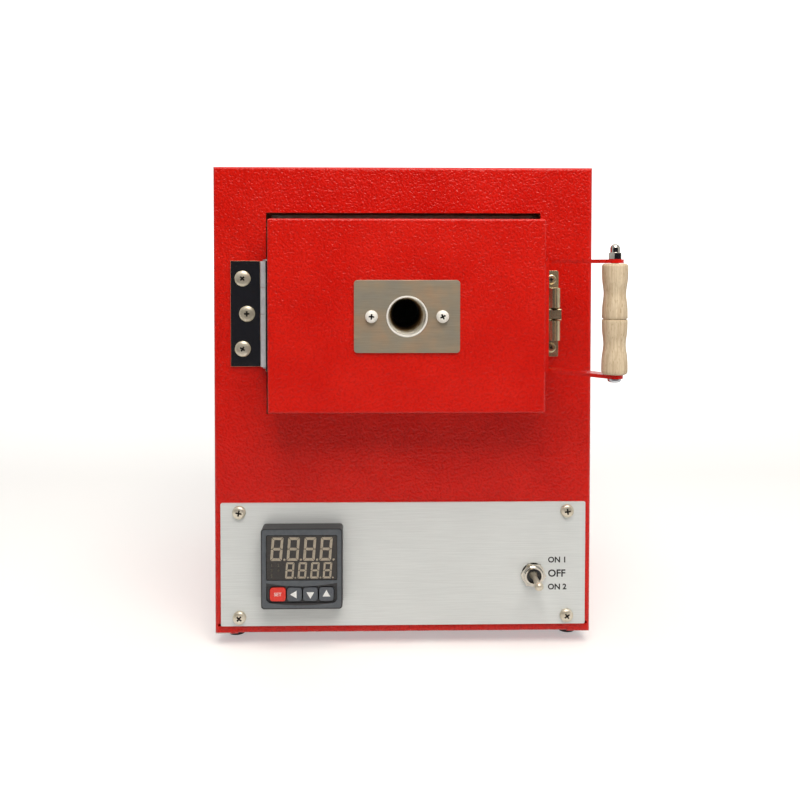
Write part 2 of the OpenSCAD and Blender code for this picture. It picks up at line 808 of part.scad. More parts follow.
module toggle_body() {
    color(dark) translate([sw_x, 0, sw_z]) difference() {
        union() {
            slab_y(16, 29, inner_front_y + 1.6, inner_front_y + 22, 1.2);
            rod_y(bush_d, plate_front_y - bush_out, inner_front_y + 2);
            for (s = [-1, 0, 1]) translate([0, 0, s * 9])
                slab_y(6.3, 0.8, inner_front_y + 21, inner_front_y + 30, 0.2);
        }
        rod_y(bush_bore, plate_front_y - bush_out - 1, lever_pivot_y - 1.3);
        rod_y(lever_ball_d + 0.1, lever_pivot_y - 2, lever_pivot_y + 5);
        translate([0, lever_pivot_y, 0])
            rod_x(lever_pin_d + 0.1, -lever_pin_l / 2 - 0.1, lever_pin_l / 2 + 0.1);
    }
}

module toggle_nut() {
    color(steel) translate([sw_x, 0, sw_z]) difference() {
        union() {
            translate([0, plate_front_y - washer_t - nut_t, 0]) rotate([-90, 5, 0])
                cylinder(d = nut_flats / cos(30), h = nut_t, $fn = 6);
            rod_y(nut_flats + 1, plate_front_y - washer_t - 0.01, plate_front_y);
        }
        rod_y(bush_d + 0.1, plate_front_y - 4, plate_front_y + 1);
    }
}

// The lever tips on a cross pin through its ball
module toggle_lever() {
    color(steel) translate([sw_x, lever_pivot_y, sw_z])
        rod_x(lever_pin_d, -lever_pin_l / 2, lever_pin_l / 2);
    color(steel) translate([sw_x, lever_pivot_y, sw_z]) rotate([90, 0, 0]) rotate_extrude() {
        translate([0, -3]) square([1.5, 3]);
        polygon([[0, 0], [1.9, 0], [1.5, 6], [lever_tip_r - 0.1, lever_len - lever_tip_r],
            [0, lever_len - lever_tip_r]]);
        intersection() {
            translate([0, lever_len - lever_tip_r]) circle(lever_tip_r);
            translate([0, lever_len - 5]) square([3, 6]);
        }
        intersection() {
            circle(d = lever_ball_d);
            translate([0, -3]) square([3, 6]);
        }
    }
}

// Hinge

module hinge_places() {
    for (row = hinge_rows)
        translate([pin_x - row[1], 0, door_z + row[0] * hinge_screw_pitch]) children();
}

module hinge_knuckles(first) {
    difference() {
        for (i = [first : 2 : knuckles - 1])
            translate([pin_x, pin_y, hinge_z0 + i * knuckle_l + knuckle_clear])
                cylinder(d = knuckle_d, h = knuckle_l - 2 * knuckle_clear);
        translate([pin_x, pin_y, hinge_z0 - 1]) cylinder(d = pin_d + 0.1, h = hinge_l + 2);
    }
}

// Tabs of a leaf reach its own knuckles, and gaps clear the other leaf's
module leaf_outline(first) {
    far = knuckle_d / 2 + 0.5;
    translate([far, 0]) square([leaf_reach - far, hinge_l]);
    for (i = [first : 2 : knuckles - 1])
        translate([0, i * knuckle_l + knuckle_clear])
            square([far + 0.1, knuckle_l - 2 * knuckle_clear]);
}

module hinge_body_leaf() {
    color(steel) difference() {
        union() {
            hinge_knuckles(0);
            translate([pin_x, front_y, hinge_z0]) rotate([90, 0, 0]) linear_extrude(leaf_t)
                mirror([1, 0]) leaf_outline(0);
        }
        hinge_places() translate([0, front_y - leaf_t, 0])
            sunk_hole(hinge_screw_d, 9.4, 1.2, 3);
        translate([pin_x, pin_y, hinge_z0 - 1]) cylinder(d = pin_d + 0.1, h = hinge_l + 2);
    }
}

module hinge_body_screws() {
    color(steel) hinge_places() translate([0, front_y - leaf_t, 0])
        sunk_screw(hinge_screw_d, 9.4, 1.2, 2, 7);
}

module hinge_backing_strip() {
    margin = hinge_screw_d / 2 + 1.3;
    far = hinge_rows[0][1] + margin;
    near = hinge_rows[1][1] - margin;
    color(steel) difference() {
        translate([pin_x - far, inner_front_y, hinge_z0])
            cube([far - near, 2.5, hinge_l]);
        hinge_places() rod_y(hinge_screw_d + 0.1, front_y, front_y + 8);
    }
}

module hinge_pin() {
    color(steel) translate([pin_x, pin_y, hinge_z0 - 0.8]) {
        cylinder(d = pin_d, h = hinge_l + 1.6);
        for (z = [0, hinge_l + 0.9]) translate([0, 0, z]) cylinder(d = pin_d + 1.2, h = 0.7);
    }
}

module door_hinge_places() {
    for (row = hinge_rows)
        translate([door_x0, pin_y - row[1], door_z + row[0] * hinge_screw_pitch]) children();
}

module hinge_door_leaf() {
    color(steel) difference() {
        union() {
            hinge_knuckles(1);
            translate([door_x0, pin_y, hinge_z0]) rotate([0, 0, -90]) rotate([90, 0, 0])
                linear_extrude(leaf_t) leaf_outline(1);
        }
        door_hinge_places() translate([-leaf_t, 0, 0]) rotate([0, 0, -90])
            sunk_hole(4, 8, 1.2, 3);
        translate([pin_x, pin_y, hinge_z0 - 1]) cylinder(d = pin_d + 0.1, h = hinge_l + 2);
    }
}

module hinge_door_screws() {
    color(steel) door_hinge_places() translate([-leaf_t, 0, 0]) rotate([0, 0, -90])
        sunk_screw(4, 8, 1.2, 0.6, 6);
}

// Door

module door_shell() {
    r = 1.5;
    inner = sheet_t;
    color(red) difference() {
        intersection() {
            translate([door_x, door_front_y, door_z - door_h / 2])
                folded_block(door_w, door_h, door_d, r);
            translate([door_x, 0, door_z])
                slab_y(door_w, door_h, door_front_y - 1, door_rear_y, r);
        }
        translate([door_x, 0, door_z]) slab_y(door_w - 2 * inner, door_h - 2 * inner,
            door_front_y + inner, door_rear_y - inner, 0.6);
        translate([door_x, 0, door_z]) slab_y(plug_w + 0.6, plug_h + 0.6,
            door_rear_y - inner - 1, door_rear_y + 1, 0.6);
        translate([door_x, 0, door_z]) rod_y(peep_sleeve_d + 0.2, door_front_y - 1, door_front_y + 4);
        peep_screw_places() rod_y(4.2, door_front_y - 1, door_front_y + 4);
        door_hinge_places() rod_x(4.2, -2, 3);
        bracket_screw_places() rod_x(4.2, -3, 2);
        strike_screw_places() rod_x(3.2, -3, 2);
    }
}

module door_insulation() {
    gap = 0.3;
    pad_w = door_w - 2 * sheet_t - 2 * gap;
    pad_h = door_h - 2 * sheet_t - 2 * gap;
    y0 = door_front_y + sheet_t + gap;
    neck_y = y0 + 14;
    color(fibre) difference() {
        union() {
            translate([door_x, 0, door_z]) slab_y(pad_w, pad_h, y0,
                door_rear_y - sheet_t - gap, 0.6);
            translate([door_x, 0, door_z]) slab_y(plug_w, plug_h, y0 + 1, plug_y1, 1.5);
        }
        translate([door_x, 0, door_z]) rotate([-90, 0, 0]) rotate_extrude()
            polygon([[0, y0 - 1], [peep_sleeve_d / 2 + 0.1, y0 - 1],
                [peep_sleeve_d / 2 + 0.1, door_front_y + 12], [peep_hole_d / 2 - 0.5, door_front_y + 12],
                [peep_inner_d / 2, neck_y + 22], [peep_inner_d / 2, plug_y1 + 1], [0, plug_y1 + 1]]);
        peep_screw_places() rod_y(5, y0 - 1, y0 + 8);
        door_hinge_places() rod_x(6, -1, 8);
        bracket_screw_places() rod_x(6, -8, 1);
        strike_screw_places() rod_x(5, -8, 1);
    }
}

module peep_screw_places() {
    for (s = [-1, 1]) translate([door_x + s * peep_screw_pitch / 2, 0, door_z]) children();
}

module peephole_plate() {
    color(steel) difference() {
        translate([door_x, 0, door_z])
            slab_y(peep_plate_w, peep_plate_h, door_front_y - 1.2, door_front_y, 2);
        translate([door_x, 0, door_z]) rod_y(peep_sleeve_d + 0.1, door_front_y - 2, door_front_y + 1);
        peep_screw_places() rod_y(4.2, door_front_y - 2, door_front_y + 1);
    }
}

module peephole_sleeve() {
    color(steel) translate([door_x, 0, door_z]) difference() {
        rod_y(peep_sleeve_d, door_front_y - 1.5, door_front_y + 11.8);
        rod_y(peep_hole_d, door_front_y - 3, door_front_y + 13);
    }
}

module peephole_screws() {
    color(steel) peep_screw_places() translate([0, door_front_y - 1.2, 0])
        pan_screw(4, 7.2, 2.4, 7);
}

// Handle

module bracket_screw_places() {
    for (s = [-1, 1]) translate([door_x1, (bracket_y0 + bracket_y1) / 2, door_z + s * 18]) children();
}

// Plan of a leg: it narrows from the base strip to a round end at the bolt
module leg_plan() {
    mid_y = (bracket_y0 + bracket_y1) / 2;
    dx = grip_x - door_x1;
    dy = grip_y - mid_y;
    len = norm([dx, dy]);
    nx = -dy / len * strap_end_r;
    ny = dx / len * strap_end_r;
    polygon([[door_x1, bracket_y1], [door_x1 + strap_t, bracket_y1], [grip_x + nx, grip_y + ny],
        [grip_x - nx, grip_y - ny], [door_x1 + strap_t, bracket_y0], [door_x1, bracket_y0]]);
    translate([grip_x, grip_y]) circle(strap_end_r);
}

module handle_bracket() {
    half = strap_cz + strap_t / 2;
    color(red) difference() {
        intersection() {
            union() {
                for (s = [-1, 1]) translate([0, 0, door_z + s * strap_cz - strap_t / 2])
                    linear_extrude(strap_t) leg_plan();
                translate([door_x1, bracket_y0, door_z - half])
                    cube([strap_t, bracket_y1 - bracket_y0, 2 * half]);
            }
            translate([door_x1 + 50, 0, door_z])
                slab_y(100, 2 * half, grip_y - 20, bracket_y1 + 1, strap_t);
        }
        translate([grip_x, grip_y, door_z - half - 1])
            cylinder(d = grip_bolt_d + 0.1, h = 2 * half + 2);
        bracket_screw_places() rod_x(4.2, -1, strap_t + 1);
    }
}

module handle_screws() {
    color(steel) bracket_screw_places() translate([strap_t, 0, 0]) rotate([0, 0, 90])
        pan_screw(4, 7.6, 2.4, 8);
}

module grip_bolt() {
    half = strap_cz + strap_t / 2;
    color(steel) translate([grip_x, grip_y, door_z - half]) rotate([90, 0, 0])
        pan_screw(grip_bolt_d, 7.2, 2.3, 2 * half + 4);
}

module grip_nut() {
    half = strap_cz + strap_t / 2;
    hex_h = 3.6;
    neck_h = 2.2;
    dome_r = 2.6;
    color(steel) translate([grip_x, grip_y, door_z + half]) difference() {
        union() {
            rotate([0, 0, 12]) cylinder(d = 6.6 / cos(30), h = hex_h, $fn = 6);
            cylinder(r = dome_r, h = hex_h + neck_h);
            translate([0, 0, hex_h + neck_h - 0.05]) intersection() {
                sphere(dome_r);
                cylinder(r = dome_r + 1, h = dome_r + 1);
            }
        }
        translate([0, 0, -1]) cylinder(d = grip_bolt_d + 0.1, h = 6);
    }
}

// Radius of the turned grip at a share of its half length
function grip_r(u) = grip_d / 2 - 0.35 - 1.05 * exp(-pow((u - 0.46) / 0.2, 2))
    - 0.25 * exp(-pow(u / 0.3, 2)) - 0.1 * exp(-pow((u - 1) / 0.25, 2));

module wooden_grip() {
    steps = 24;
    round_r = 1.2;
    bore = grip_bolt_d / 2 + 0.05;
    half = grip_l / 2;
    right = [for (i = [-steps : steps]) let (u = i / steps)
        [grip_r(abs(u)) - (abs(i) == steps ? round_r : 0), u * half]];
    color("#d9b98a") translate([grip_x, grip_y, door_z]) rotate_extrude()
        polygon(concat([[bore, -half]], [for (p = right) p], [[bore, half]]));
}

// Double ball catch and its strike

module catch_screw_places() {
    for (s = [-1, 1]) translate([catch_x, 0, door_z + s * catch_screw_pitch / 2]) children();
}

module catch_body() {
    inner_z = barrel_gap / 2;
    color(brass) difference() {
        union() {
            translate([catch_x, 0, door_z])
                slab_y(barrel_d - 0.4, catch_l, front_y - catch_base_t, front_y, 1);
            for (s = [0, 1]) translate([catch_x, catch_y, door_z]) mirror([0, 0, s])
                translate([0, 0, inner_z]) linear_extrude(barrel_l) {
                    circle(d = barrel_d);
                    translate([-barrel_d / 2, 0])
                        square([barrel_d, front_y - catch_y - 0.5]);
                }
        }
        for (s = [0, 1]) translate([catch_x, catch_y, door_z]) mirror([0, 0, s]) {
            translate([0, 0, inner_z - 1]) cylinder(d = mouth_d, h = 3);
            translate([0, 0, inner_z + lip_t])
                cylinder(d = ball_d + 2 * ball_clear, h = barrel_l + 2);
        }
        catch_screw_places() translate([0, front_y - catch_base_t, 0]) sunk_hole(3, 5.8, 1, 3);
    }
}

module catch_screws() {
    color(brass) catch_screw_places() translate([0, front_y - catch_base_t, 0])
        sunk_screw(3, 5.8, 1, 0.5, 7);
}

module catch_plugs() {
    z = barrel_gap / 2 + barrel_l - plug_l;
    color(brass) for (s = [0, 1]) translate([catch_x, catch_y, door_z]) mirror([0, 0, s])
        translate([0, 0, z]) difference() {
            cylinder(d = ball_d + 2 * ball_clear - 0.04, h = plug_l - 0.2);
            translate([-3, -0.4, plug_l - 1]) cube([6, 0.8, 2]);
        }
}

spring_z0 = ball_z + ball_d / 2 + 0.1;
spring_z1 = barrel_gap / 2 + barrel_l - plug_l - 0.1;
spring_turns = 4;
spring_r = ball_d / 2 - spring_wire / 2 - 0.25;
spring_sides = 6;
spring_steps = 12;

// A ring of points round the spring's wire at angle a of the winding
function spring_ring(a, z) = [for (j = [0 : spring_sides - 1]) let (b = 360 * j / spring_sides,
    r = spring_r + spring_wire / 2 * cos(b)) [r * cos(a), r * sin(a), z + spring_wire / 2 * sin(b)]];

module spring_coil() {
    n = spring_turns * spring_steps;
    rise = spring_z1 - spring_z0 - spring_wire;
    points = [for (i = [0 : n]) each spring_ring(360 * i / spring_steps,
        spring_z0 + spring_wire / 2 + rise * i / n)];
    sides = [for (i = [0 : n - 1], j = [0 : spring_sides - 1])
        let (k = (j + 1) % spring_sides, a = i * spring_sides, b = a + spring_sides)
            each [[a + j, b + j, b + k], [a + j, b + k, a + k]]];
    last = n * spring_sides;
    ends = [for (j = [1 : spring_sides - 2]) each [[0, j, j + 1], [last, last + j + 1, last + j]]];
    polyhedron(points, concat(sides, ends));
}

module catch_spring_upper() {
    color(steel) translate([catch_x, catch_y, door_z]) spring_coil();
}

module catch_spring_lower() {
    color(steel) translate([catch_x, catch_y, door_z]) mirror([0, 0, 1]) spring_coil();
}

module catch_ball_upper() {
    color(steel) translate([catch_x, catch_y, door_z + ball_z]) sphere(d = ball_d);
}

module catch_ball_lower() {
    color(steel) translate([catch_x, catch_y, door_z - ball_z]) sphere(d = ball_d);
}

strike_y0 = catch_y - 5.4;
strike_y1 = front_y - catch_base_t - 0.6;
strike_base_t = 1.5;

module strike_screw_places() {
    for (s = [-1, 1]) translate([door_x1, catch_y - 0.6, door_z + s * 7.2]) children();
}

strike_half = barrel_gap / 2 - 0.35;
strike_r = 0.8;

// Side view of the tongue: a round nose, and a bulb behind the balls
module strike_outline() {
    bulb_r = barrel_gap / 2 - 0.9;
    bulb_y = strike_y1 - bulb_r;
    translate([strike_y0 + strike_r, -strike_half])
        square([bulb_y - 0.6 - strike_y0 - strike_r, 2 * strike_half]);
    translate([strike_y0, -strike_half + strike_r]) square([3, 2 * (strike_half - strike_r)]);
    for (s = [-1, 1]) translate([strike_y0 + strike_r, s * (strike_half - strike_r)])
        circle(strike_r);
    translate([bulb_y, 0]) circle(bulb_r);
}

module strike() {
    color(brass) difference() {
        union() {
            translate([door_x1, strike_y0, door_z - 10.6])
                cube([strike_base_t, strike_y1 - strike_y0 + 0.1, 21.2]);
            translate([door_x1, 0, door_z]) rotate([90, 0, 90])
                linear_extrude(catch_out + barrel_d / 2 - 0.4) strike_outline();
        }
        // Grooves that lead to the seats of the two balls
        for (s = [-1, 1]) translate([catch_x, 0, door_z + s * ball_z]) {
            rod_y(ball_d + 0.6, strike_y0 - 1, catch_y);
            translate([0, catch_y, 0]) sphere(d = ball_d + 0.6);
        }
        strike_screw_places() translate([strike_base_t, 0, 0]) rotate([0, 0, 90])
            sunk_hole(3, 5.4, 1, 3);
    }
}

module strike_screws() {
    color(brass) strike_screw_places() translate([strike_base_t, 0, 0]) rotate([0, 0, 90])
        sunk_screw(3, 5.4, 1, 0.2, 6);
}

front_panel();
wrap_cover();
rear_panel();
base_plate();
rubber_feet();
foot_screws();
case_screws();
opening_collar();
chassis_shelf();
muffle();
insulation_floor();
insulation_roof();
insulation_sides();
insulation_rear();
muffle_back_plate();
element_left();
element_right();
terminal_blocks();
thermocouple();
relay_heat_sink();
solid_state_relay();
power_inlet();
inlet_screws();
control_plate();
control_plate_screws();
controller_case();
controller_window();
controller_clip();
toggle_body();
toggle_nut();
toggle_lever();
key_mode();
key_left();
key_down();
key_up();
hinge_body_leaf();
hinge_body_screws();
hinge_backing_strip();
hinge_pin();
hinge_door_leaf();
hinge_door_screws();
catch_body();
catch_screws();
catch_plugs();
catch_spring_upper();
catch_spring_lower();
catch_ball_upper();
catch_ball_lower();
door_shell();
door_insulation();
peephole_plate();
peephole_sleeve();
peephole_screws();
handle_bracket();
handle_screws();
grip_bolt();
grip_nut();
wooden_grip();
strike();
strike_screws();
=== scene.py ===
import json
import math
import bpy
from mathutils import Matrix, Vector

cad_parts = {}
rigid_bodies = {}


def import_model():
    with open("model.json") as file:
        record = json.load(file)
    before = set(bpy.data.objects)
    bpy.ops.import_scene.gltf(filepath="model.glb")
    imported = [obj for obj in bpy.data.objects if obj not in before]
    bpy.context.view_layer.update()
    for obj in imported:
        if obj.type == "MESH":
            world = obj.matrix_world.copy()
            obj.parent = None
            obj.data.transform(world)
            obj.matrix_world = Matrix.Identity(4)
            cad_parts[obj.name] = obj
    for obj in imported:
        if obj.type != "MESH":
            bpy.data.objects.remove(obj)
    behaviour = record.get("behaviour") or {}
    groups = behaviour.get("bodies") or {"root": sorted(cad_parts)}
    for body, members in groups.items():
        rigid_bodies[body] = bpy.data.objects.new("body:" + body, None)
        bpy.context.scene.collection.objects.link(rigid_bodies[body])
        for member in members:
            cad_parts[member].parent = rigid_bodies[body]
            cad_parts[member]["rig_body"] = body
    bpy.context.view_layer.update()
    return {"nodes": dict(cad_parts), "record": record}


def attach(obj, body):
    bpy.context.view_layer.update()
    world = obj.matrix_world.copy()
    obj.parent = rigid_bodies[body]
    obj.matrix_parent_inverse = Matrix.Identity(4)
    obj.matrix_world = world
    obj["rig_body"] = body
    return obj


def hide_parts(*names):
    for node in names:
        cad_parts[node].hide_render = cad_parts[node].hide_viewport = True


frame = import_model()
nodes = frame["nodes"]
mm = 0.001

bpy.context.scene.view_settings.view_transform = "Standard"


# Camera first: the front is seen almost square on, from a little above the door
view = {"place": (-13.8, -645, 230.3), "yaw": 1.284, "pitch": 1.58, "roll": -0.05,
        "lens": 39.02, "shiftY": -0.1375}
bpy.ops.object.camera_add(location=[v * mm for v in view["place"]])
camera = bpy.context.object
camera.rotation_euler = (math.radians(90 - view["pitch"]), math.radians(view["roll"]),
                         math.radians(-view["yaw"]))
camera.data.lens = view["lens"]
camera.data.sensor_width = 36
camera.data.shift_y = view["shiftY"]
camera.data.clip_start = 0.01
bpy.context.scene.camera = camera
print("camera stands")


def deselectAll():
    if bpy.context.object and bpy.context.object.mode != "OBJECT":
        bpy.ops.object.mode_set(mode="OBJECT")
    bpy.ops.object.select_all(action="DESELECT")


def takeHold(piece):
    deselectAll()
    piece.select_set(True)
    bpy.context.view_layer.objects.active = piece


def settle(piece):  # the place goes into the mesh, the object back to the origin
    takeHold(piece)
    bpy.ops.object.transform_apply(location=True, rotation=True, scale=True)
    return piece


def faceOutwards(piece):
    takeHold(piece)
    bpy.ops.object.mode_set(mode="EDIT")
    bpy.ops.mesh.select_all(action="SELECT")
    bpy.ops.mesh.remove_doubles(threshold=0.00001)
    bpy.ops.mesh.normals_make_consistent(inside=False)
    bpy.ops.object.mode_set(mode="OBJECT")


def pickFaces(piece, wanted):  # wanted reads a face's centre and normal, both in mm
    takeHold(piece)
    bpy.ops.object.mode_set(mode="EDIT")
    bpy.ops.mesh.select_mode(type="FACE")
    bpy.ops.mesh.select_all(action="DESELECT")
    bpy.ops.object.mode_set(mode="OBJECT")
    for face in piece.data.polygons:
        face.select = wanted(face.center / mm, face.normal)
    bpy.ops.object.mode_set(mode="EDIT")


def pickPoints(piece, wanted):  # wanted reads a point's place in mm
    takeHold(piece)
    bpy.ops.object.mode_set(mode="EDIT")
    bpy.ops.mesh.select_mode(type="VERT")
    bpy.ops.mesh.select_all(action="DESELECT")
    bpy.ops.object.mode_set(mode="OBJECT")
    for point in piece.data.vertices:
        point.select = wanted(point.co / mm)
    bpy.ops.object.mode_set(mode="EDIT")


def pickEdges(piece, wanted):  # wanted reads an edge's two ends in mm
    takeHold(piece)
    bpy.ops.object.mode_set(mode="EDIT")
    bpy.ops.mesh.select_mode(type="EDGE")
    bpy.ops.mesh.select_all(action="DESELECT")
    bpy.ops.object.mode_set(mode="OBJECT")
    corners = piece.data.vertices
    for edge in piece.data.edges:
        edge.select = wanted(*[corners[i].co / mm for i in edge.vertices])
    bpy.ops.object.mode_set(mode="EDIT")


def softenEdges(piece, width, steps=2, angle=35):
    takeHold(piece)
    bevel = piece.modifiers.new("edge", "BEVEL")
    bevel.width = width * mm
    bevel.segments = steps
    bevel.limit_method = "ANGLE"
    bevel.angle_limit = math.radians(angle)
    bpy.ops.object.modifier_apply(modifier="edge")


def shadeRound(piece, angle=38, flatFaces=False):
    takeHold(piece)
    bpy.ops.object.shade_smooth_by_angle(angle=math.radians(angle))
    if flatFaces:  # broad faces keep their own normal, and only the bevels turn
        weigh = piece.modifiers.new("weigh", "WEIGHTED_NORMAL")
        weigh.keep_sharp = True
        weigh.weight = 100
        bpy.ops.object.modifier_apply(modifier="weigh")


def joinAll(pieces, name):
    deselectAll()
    for piece in pieces:
        piece.select_set(True)
    bpy.context.view_layer.objects.active = pieces[0]
    if len(pieces) > 1:
        bpy.ops.object.join()
    joined = bpy.context.object
    joined.name = name
    joined.data.name = name
    return joined


def giveFinish(piece, finish):
    piece.data.materials.clear()
    piece.data.materials.append(finish)


def hand(piece, body, finish, stands=()):  # a finished piece joins the object
    if finish:
        giveFinish(piece, finish)
    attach(piece, body)
    if stands:
        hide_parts(*stands)
    return piece


merging = {"gap": 0.000005, "flat": 0.6}  # metres between doubles, degrees between flat faces


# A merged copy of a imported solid, with its sharp edges broken and its rounds smooth
def dressCopy(nodeName, finish, edge=0.0, angle=35):
    takeHold(nodes[nodeName])
    body = nodes[nodeName]["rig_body"]
    bpy.ops.object.duplicate()
    piece = bpy.context.object
    bpy.ops.object.parent_clear(type="CLEAR_KEEP_TRANSFORM")
    for key in [k for k in piece.keys() if k.startswith("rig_")]:
        del piece[key]
    piece.name = nodeName + "_finished"
    piece.data.name = piece.name
    bpy.ops.object.mode_set(mode="EDIT")
    bpy.ops.mesh.select_all(action="SELECT")
    bpy.ops.mesh.remove_doubles(threshold=merging["gap"])
    bpy.ops.mesh.dissolve_limited(angle_limit=math.radians(merging["flat"]))
    bpy.ops.object.mode_set(mode="OBJECT")
    if edge:
        softenEdges(piece, edge, 2, angle)
    shadeRound(piece, angle, flatFaces=edge > 0)
    return hand(piece, body, finish, [nodeName])


# A turned shape drawn up along Z: each ring is extruded from the last and scaled
def turn(name, profile, sides=48):
    radius, height = profile[0]
    deselectAll()
    bpy.ops.mesh.primitive_circle_add(vertices=sides, radius=radius * mm, fill_type="NGON",
                                      location=(0, 0, height * mm))
    piece = bpy.context.object
    piece.name = name
    settle(piece)
    takeHold(piece)
    bpy.ops.object.mode_set(mode="EDIT")
    bpy.ops.mesh.select_all(action="SELECT")
    for nextRadius, nextHeight in profile[1:]:
        bpy.ops.mesh.extrude_region_move(
            TRANSFORM_OT_translate={"value": (0, 0, (nextHeight - height) * mm)})
        share = nextRadius / radius
        bpy.ops.transform.resize(value=(share, share, 1),
                                 center_override=(0, 0, nextHeight * mm))
        radius, height = nextRadius, nextHeight
    bpy.ops.object.mode_set(mode="OBJECT")
    faceOutwards(piece)
    return piece


# Flat outlines in X and Z, filled and given a thickness; the front faces -Y
def flatShape(name, outlines, frontY, thick):
    drawing = bpy.data.curves.new(name, "CURVE")
    drawing.dimensions = "2D"
    drawing.fill_mode = "BOTH"
    drawing.extrude = thick / 2 * mm
    for outline in outlines:
        line = drawing.splines.new("POLY")
        line.points.add(len(outline) - 1)
        for point, (x, z) in zip(line.points, outline):
            point.co = (x * mm, z * mm, 0, 1)
        line.use_cyclic_u = True
    piece = bpy.data.objects.new(name, drawing)
    bpy.context.scene.collection.objects.link(piece)
    takeHold(piece)
    bpy.ops.object.convert(target="MESH")
    piece = bpy.context.object
    piece.rotation_euler = (math.radians(90), 0, 0)
    piece.location = (0, (frontY + thick / 2) * mm, 0)
    settle(piece)
    faceOutwards(piece)
    return piece


def roundedOutline(cx, cz, w, h, r, steps=6):
    points = []
    for sx, sz, start in ((1, 1, 0), (-1, 1, 90), (-1, -1, 180), (1, -1, 270)):
        for i in range(steps + 1):
            a = math.radians(start + 90 * i / steps)
            points.append((cx + sx * (w / 2 - r) + r * math.cos(a),
                           cz + sz * (h / 2 - r) + r * math.sin(a)))
    return points


capitalShare = 0.69  # a capital's height as a share of the font's size


def flatWord(name, words, height, x, z, frontY, thick, align="LEFT", bold=0.0):
    deselectAll()
    bpy.ops.object.text_add()
    piece = bpy.context.object
    piece.name = name
    piece.data.body = words
    piece.data.size = height / capitalShare * mm
    piece.data.align_x = align
    piece.data.align_y = "CENTER"
    piece.data.extrude = thick / 2 * mm
    piece.data.offset = bold * mm
    piece.data.resolution_u = 3
    bpy.ops.object.convert(target="MESH")
    piece = bpy.context.object
    piece.rotation_euler = (math.radians(90), 0, 0)
    piece.location = (x * mm, (frontY + thick / 2) * mm, z * mm)
    settle(piece)
    faceOutwards(piece)
    return piece


def tone(colour):  # sRGB hex, or one grey number, to linear
    if not isinstance(colour, str):
        return [colour] * 3 + [1]
    parts = [int(colour[i:i + 2], 16) / 255 for i in (1, 3, 5)]
    return [p / 12.92 if p <= 0.04045 else ((p + 0.055) / 1.055) ** 2.4 for p in parts] + [1]


def per(sizeMm):  # pattern scale for a real size
    return 1 / (sizeMm * mm)


def connect(tree, node, links):  # a socket by its name, or by _ and its number
    for name, value in links.items():
        socket = node.inputs[int(name[1:]) if name[1:].isdigit() else name.replace("_", " ")]
        if isinstance(value, bpy.types.NodeSocket):
            tree.links.new(value, socket)
        else:
            socket.default_value = tone(value) if isinstance(value, str) else value


def addNode(tree, kind, settings=(), out=0, **links):
    node = tree.nodes.new("ShaderNode" + kind)
    for name, value in dict(settings).items():
        if name != "stops":
            setattr(node, name, value)
            continue
        band = node.color_ramp
        while len(band.elements) < len(value):
            band.elements.new(0.5)
        for element, (position, colour) in zip(band.elements, value):
            element.position = position
            element.color = tone(colour)
    connect(tree, node, links)
    return node.outputs[out]


def startFinish(name, metallic, roughness, **fixed):
    finish = bpy.data.materials.new(name)
    finish.use_nodes = True
    tree = finish.node_tree
    shader = tree.nodes["Principled BSDF"]
    connect(tree, shader, {"Metallic": metallic, "Roughness": roughness, **fixed})
    return finish, tree, shader, addNode(tree, "TexCoord", out="Object")


lowEdgeHighlight = {"below": 8.4, "above": 9}  # heights below which the lowest edge has its painted highlight in patches, and above which it has none


# Polyester powder coat on steel sheet, baked to a hammered skin: small round bumps 1 to
# 2 mm across that catch the light one by one, glossy over a deep warm red, with painted
# shade in the hollows between them. Along the lowest edge a broken pale line is a
# painted highlight
def makeRedCoat():
    finish, tree, shader, place = startFinish("hammeredPowderCoat", 0, 0.3, IOR=1.5,
                                             Specular_IOR_Level=0.3)
    shade = addNode(tree, "TexNoise", Vector=place, Scale=per(30), Detail=4.0)
    bumps = addNode(tree, "TexNoise", Vector=place, Scale=per(1.45), Detail=1.0, Roughness=0.5)
    fine = addNode(tree, "TexNoise", Vector=place, Scale=per(0.75), Detail=2.0)
    tint = addNode(tree, "ValToRGB", {"stops": ((0.3, "#c60f02"), (0.7, "#d11504"))}, Fac=shade)
    # painted shade: the hollows of the bumps are darkened towards #8a0a03
    hollowShade = addNode(tree, "MapRange", Value=bumps, From_Min=0.36, From_Max=0.54, To_Min=0.25,
                     To_Max=0.0)
    coat = addNode(tree, "Mix", {"data_type": "RGBA"}, 2, _0=hollowShade, _6=tint, _7="#8a0a03")
    height = addNode(tree, "SeparateXYZ", out="Z", Vector=place)
    # painted highlight: broken pale patches along the lowest folded edge
    lowest = addNode(tree, "MapRange", Value=height, From_Min=lowEdgeHighlight["below"] * mm,
                     From_Max=lowEdgeHighlight["above"] * mm, To_Min=1.0, To_Max=0.0)
    edgeHighlightPatches = addNode(tree, "TexNoise", Vector=place, Scale=per(16), Detail=5.0, Roughness=0.7)
    edgeHighlightPatchMask = addNode(tree, "MapRange", Value=edgeHighlightPatches, From_Min=0.52, From_Max=0.56)
    edgeHighlightMask = addNode(tree, "Math", {"operation": "MULTIPLY"}, _0=lowest, _1=edgeHighlightPatchMask)
    # d9d6d0 is the colour of the painted highlight on the lowest edge
    skinTone = addNode(tree, "Mix", {"data_type": "RGBA"}, 2, _0=edgeHighlightMask, _6=coat, _7="#d9d6d0")
    rough = addNode(tree, "MapRange", Value=shade, To_Min=0.2, To_Max=0.3)
    low = addNode(tree, "Bump", Height=bumps, Strength=1.0, Distance=0.5 * mm)
    skin = addNode(tree, "Bump", Height=fine, Strength=0.8, Distance=0.22 * mm, Normal=low)
    connect(tree, shader, {"Base Color": skinTone, "Roughness": rough, "Normal": skin})
    return finish


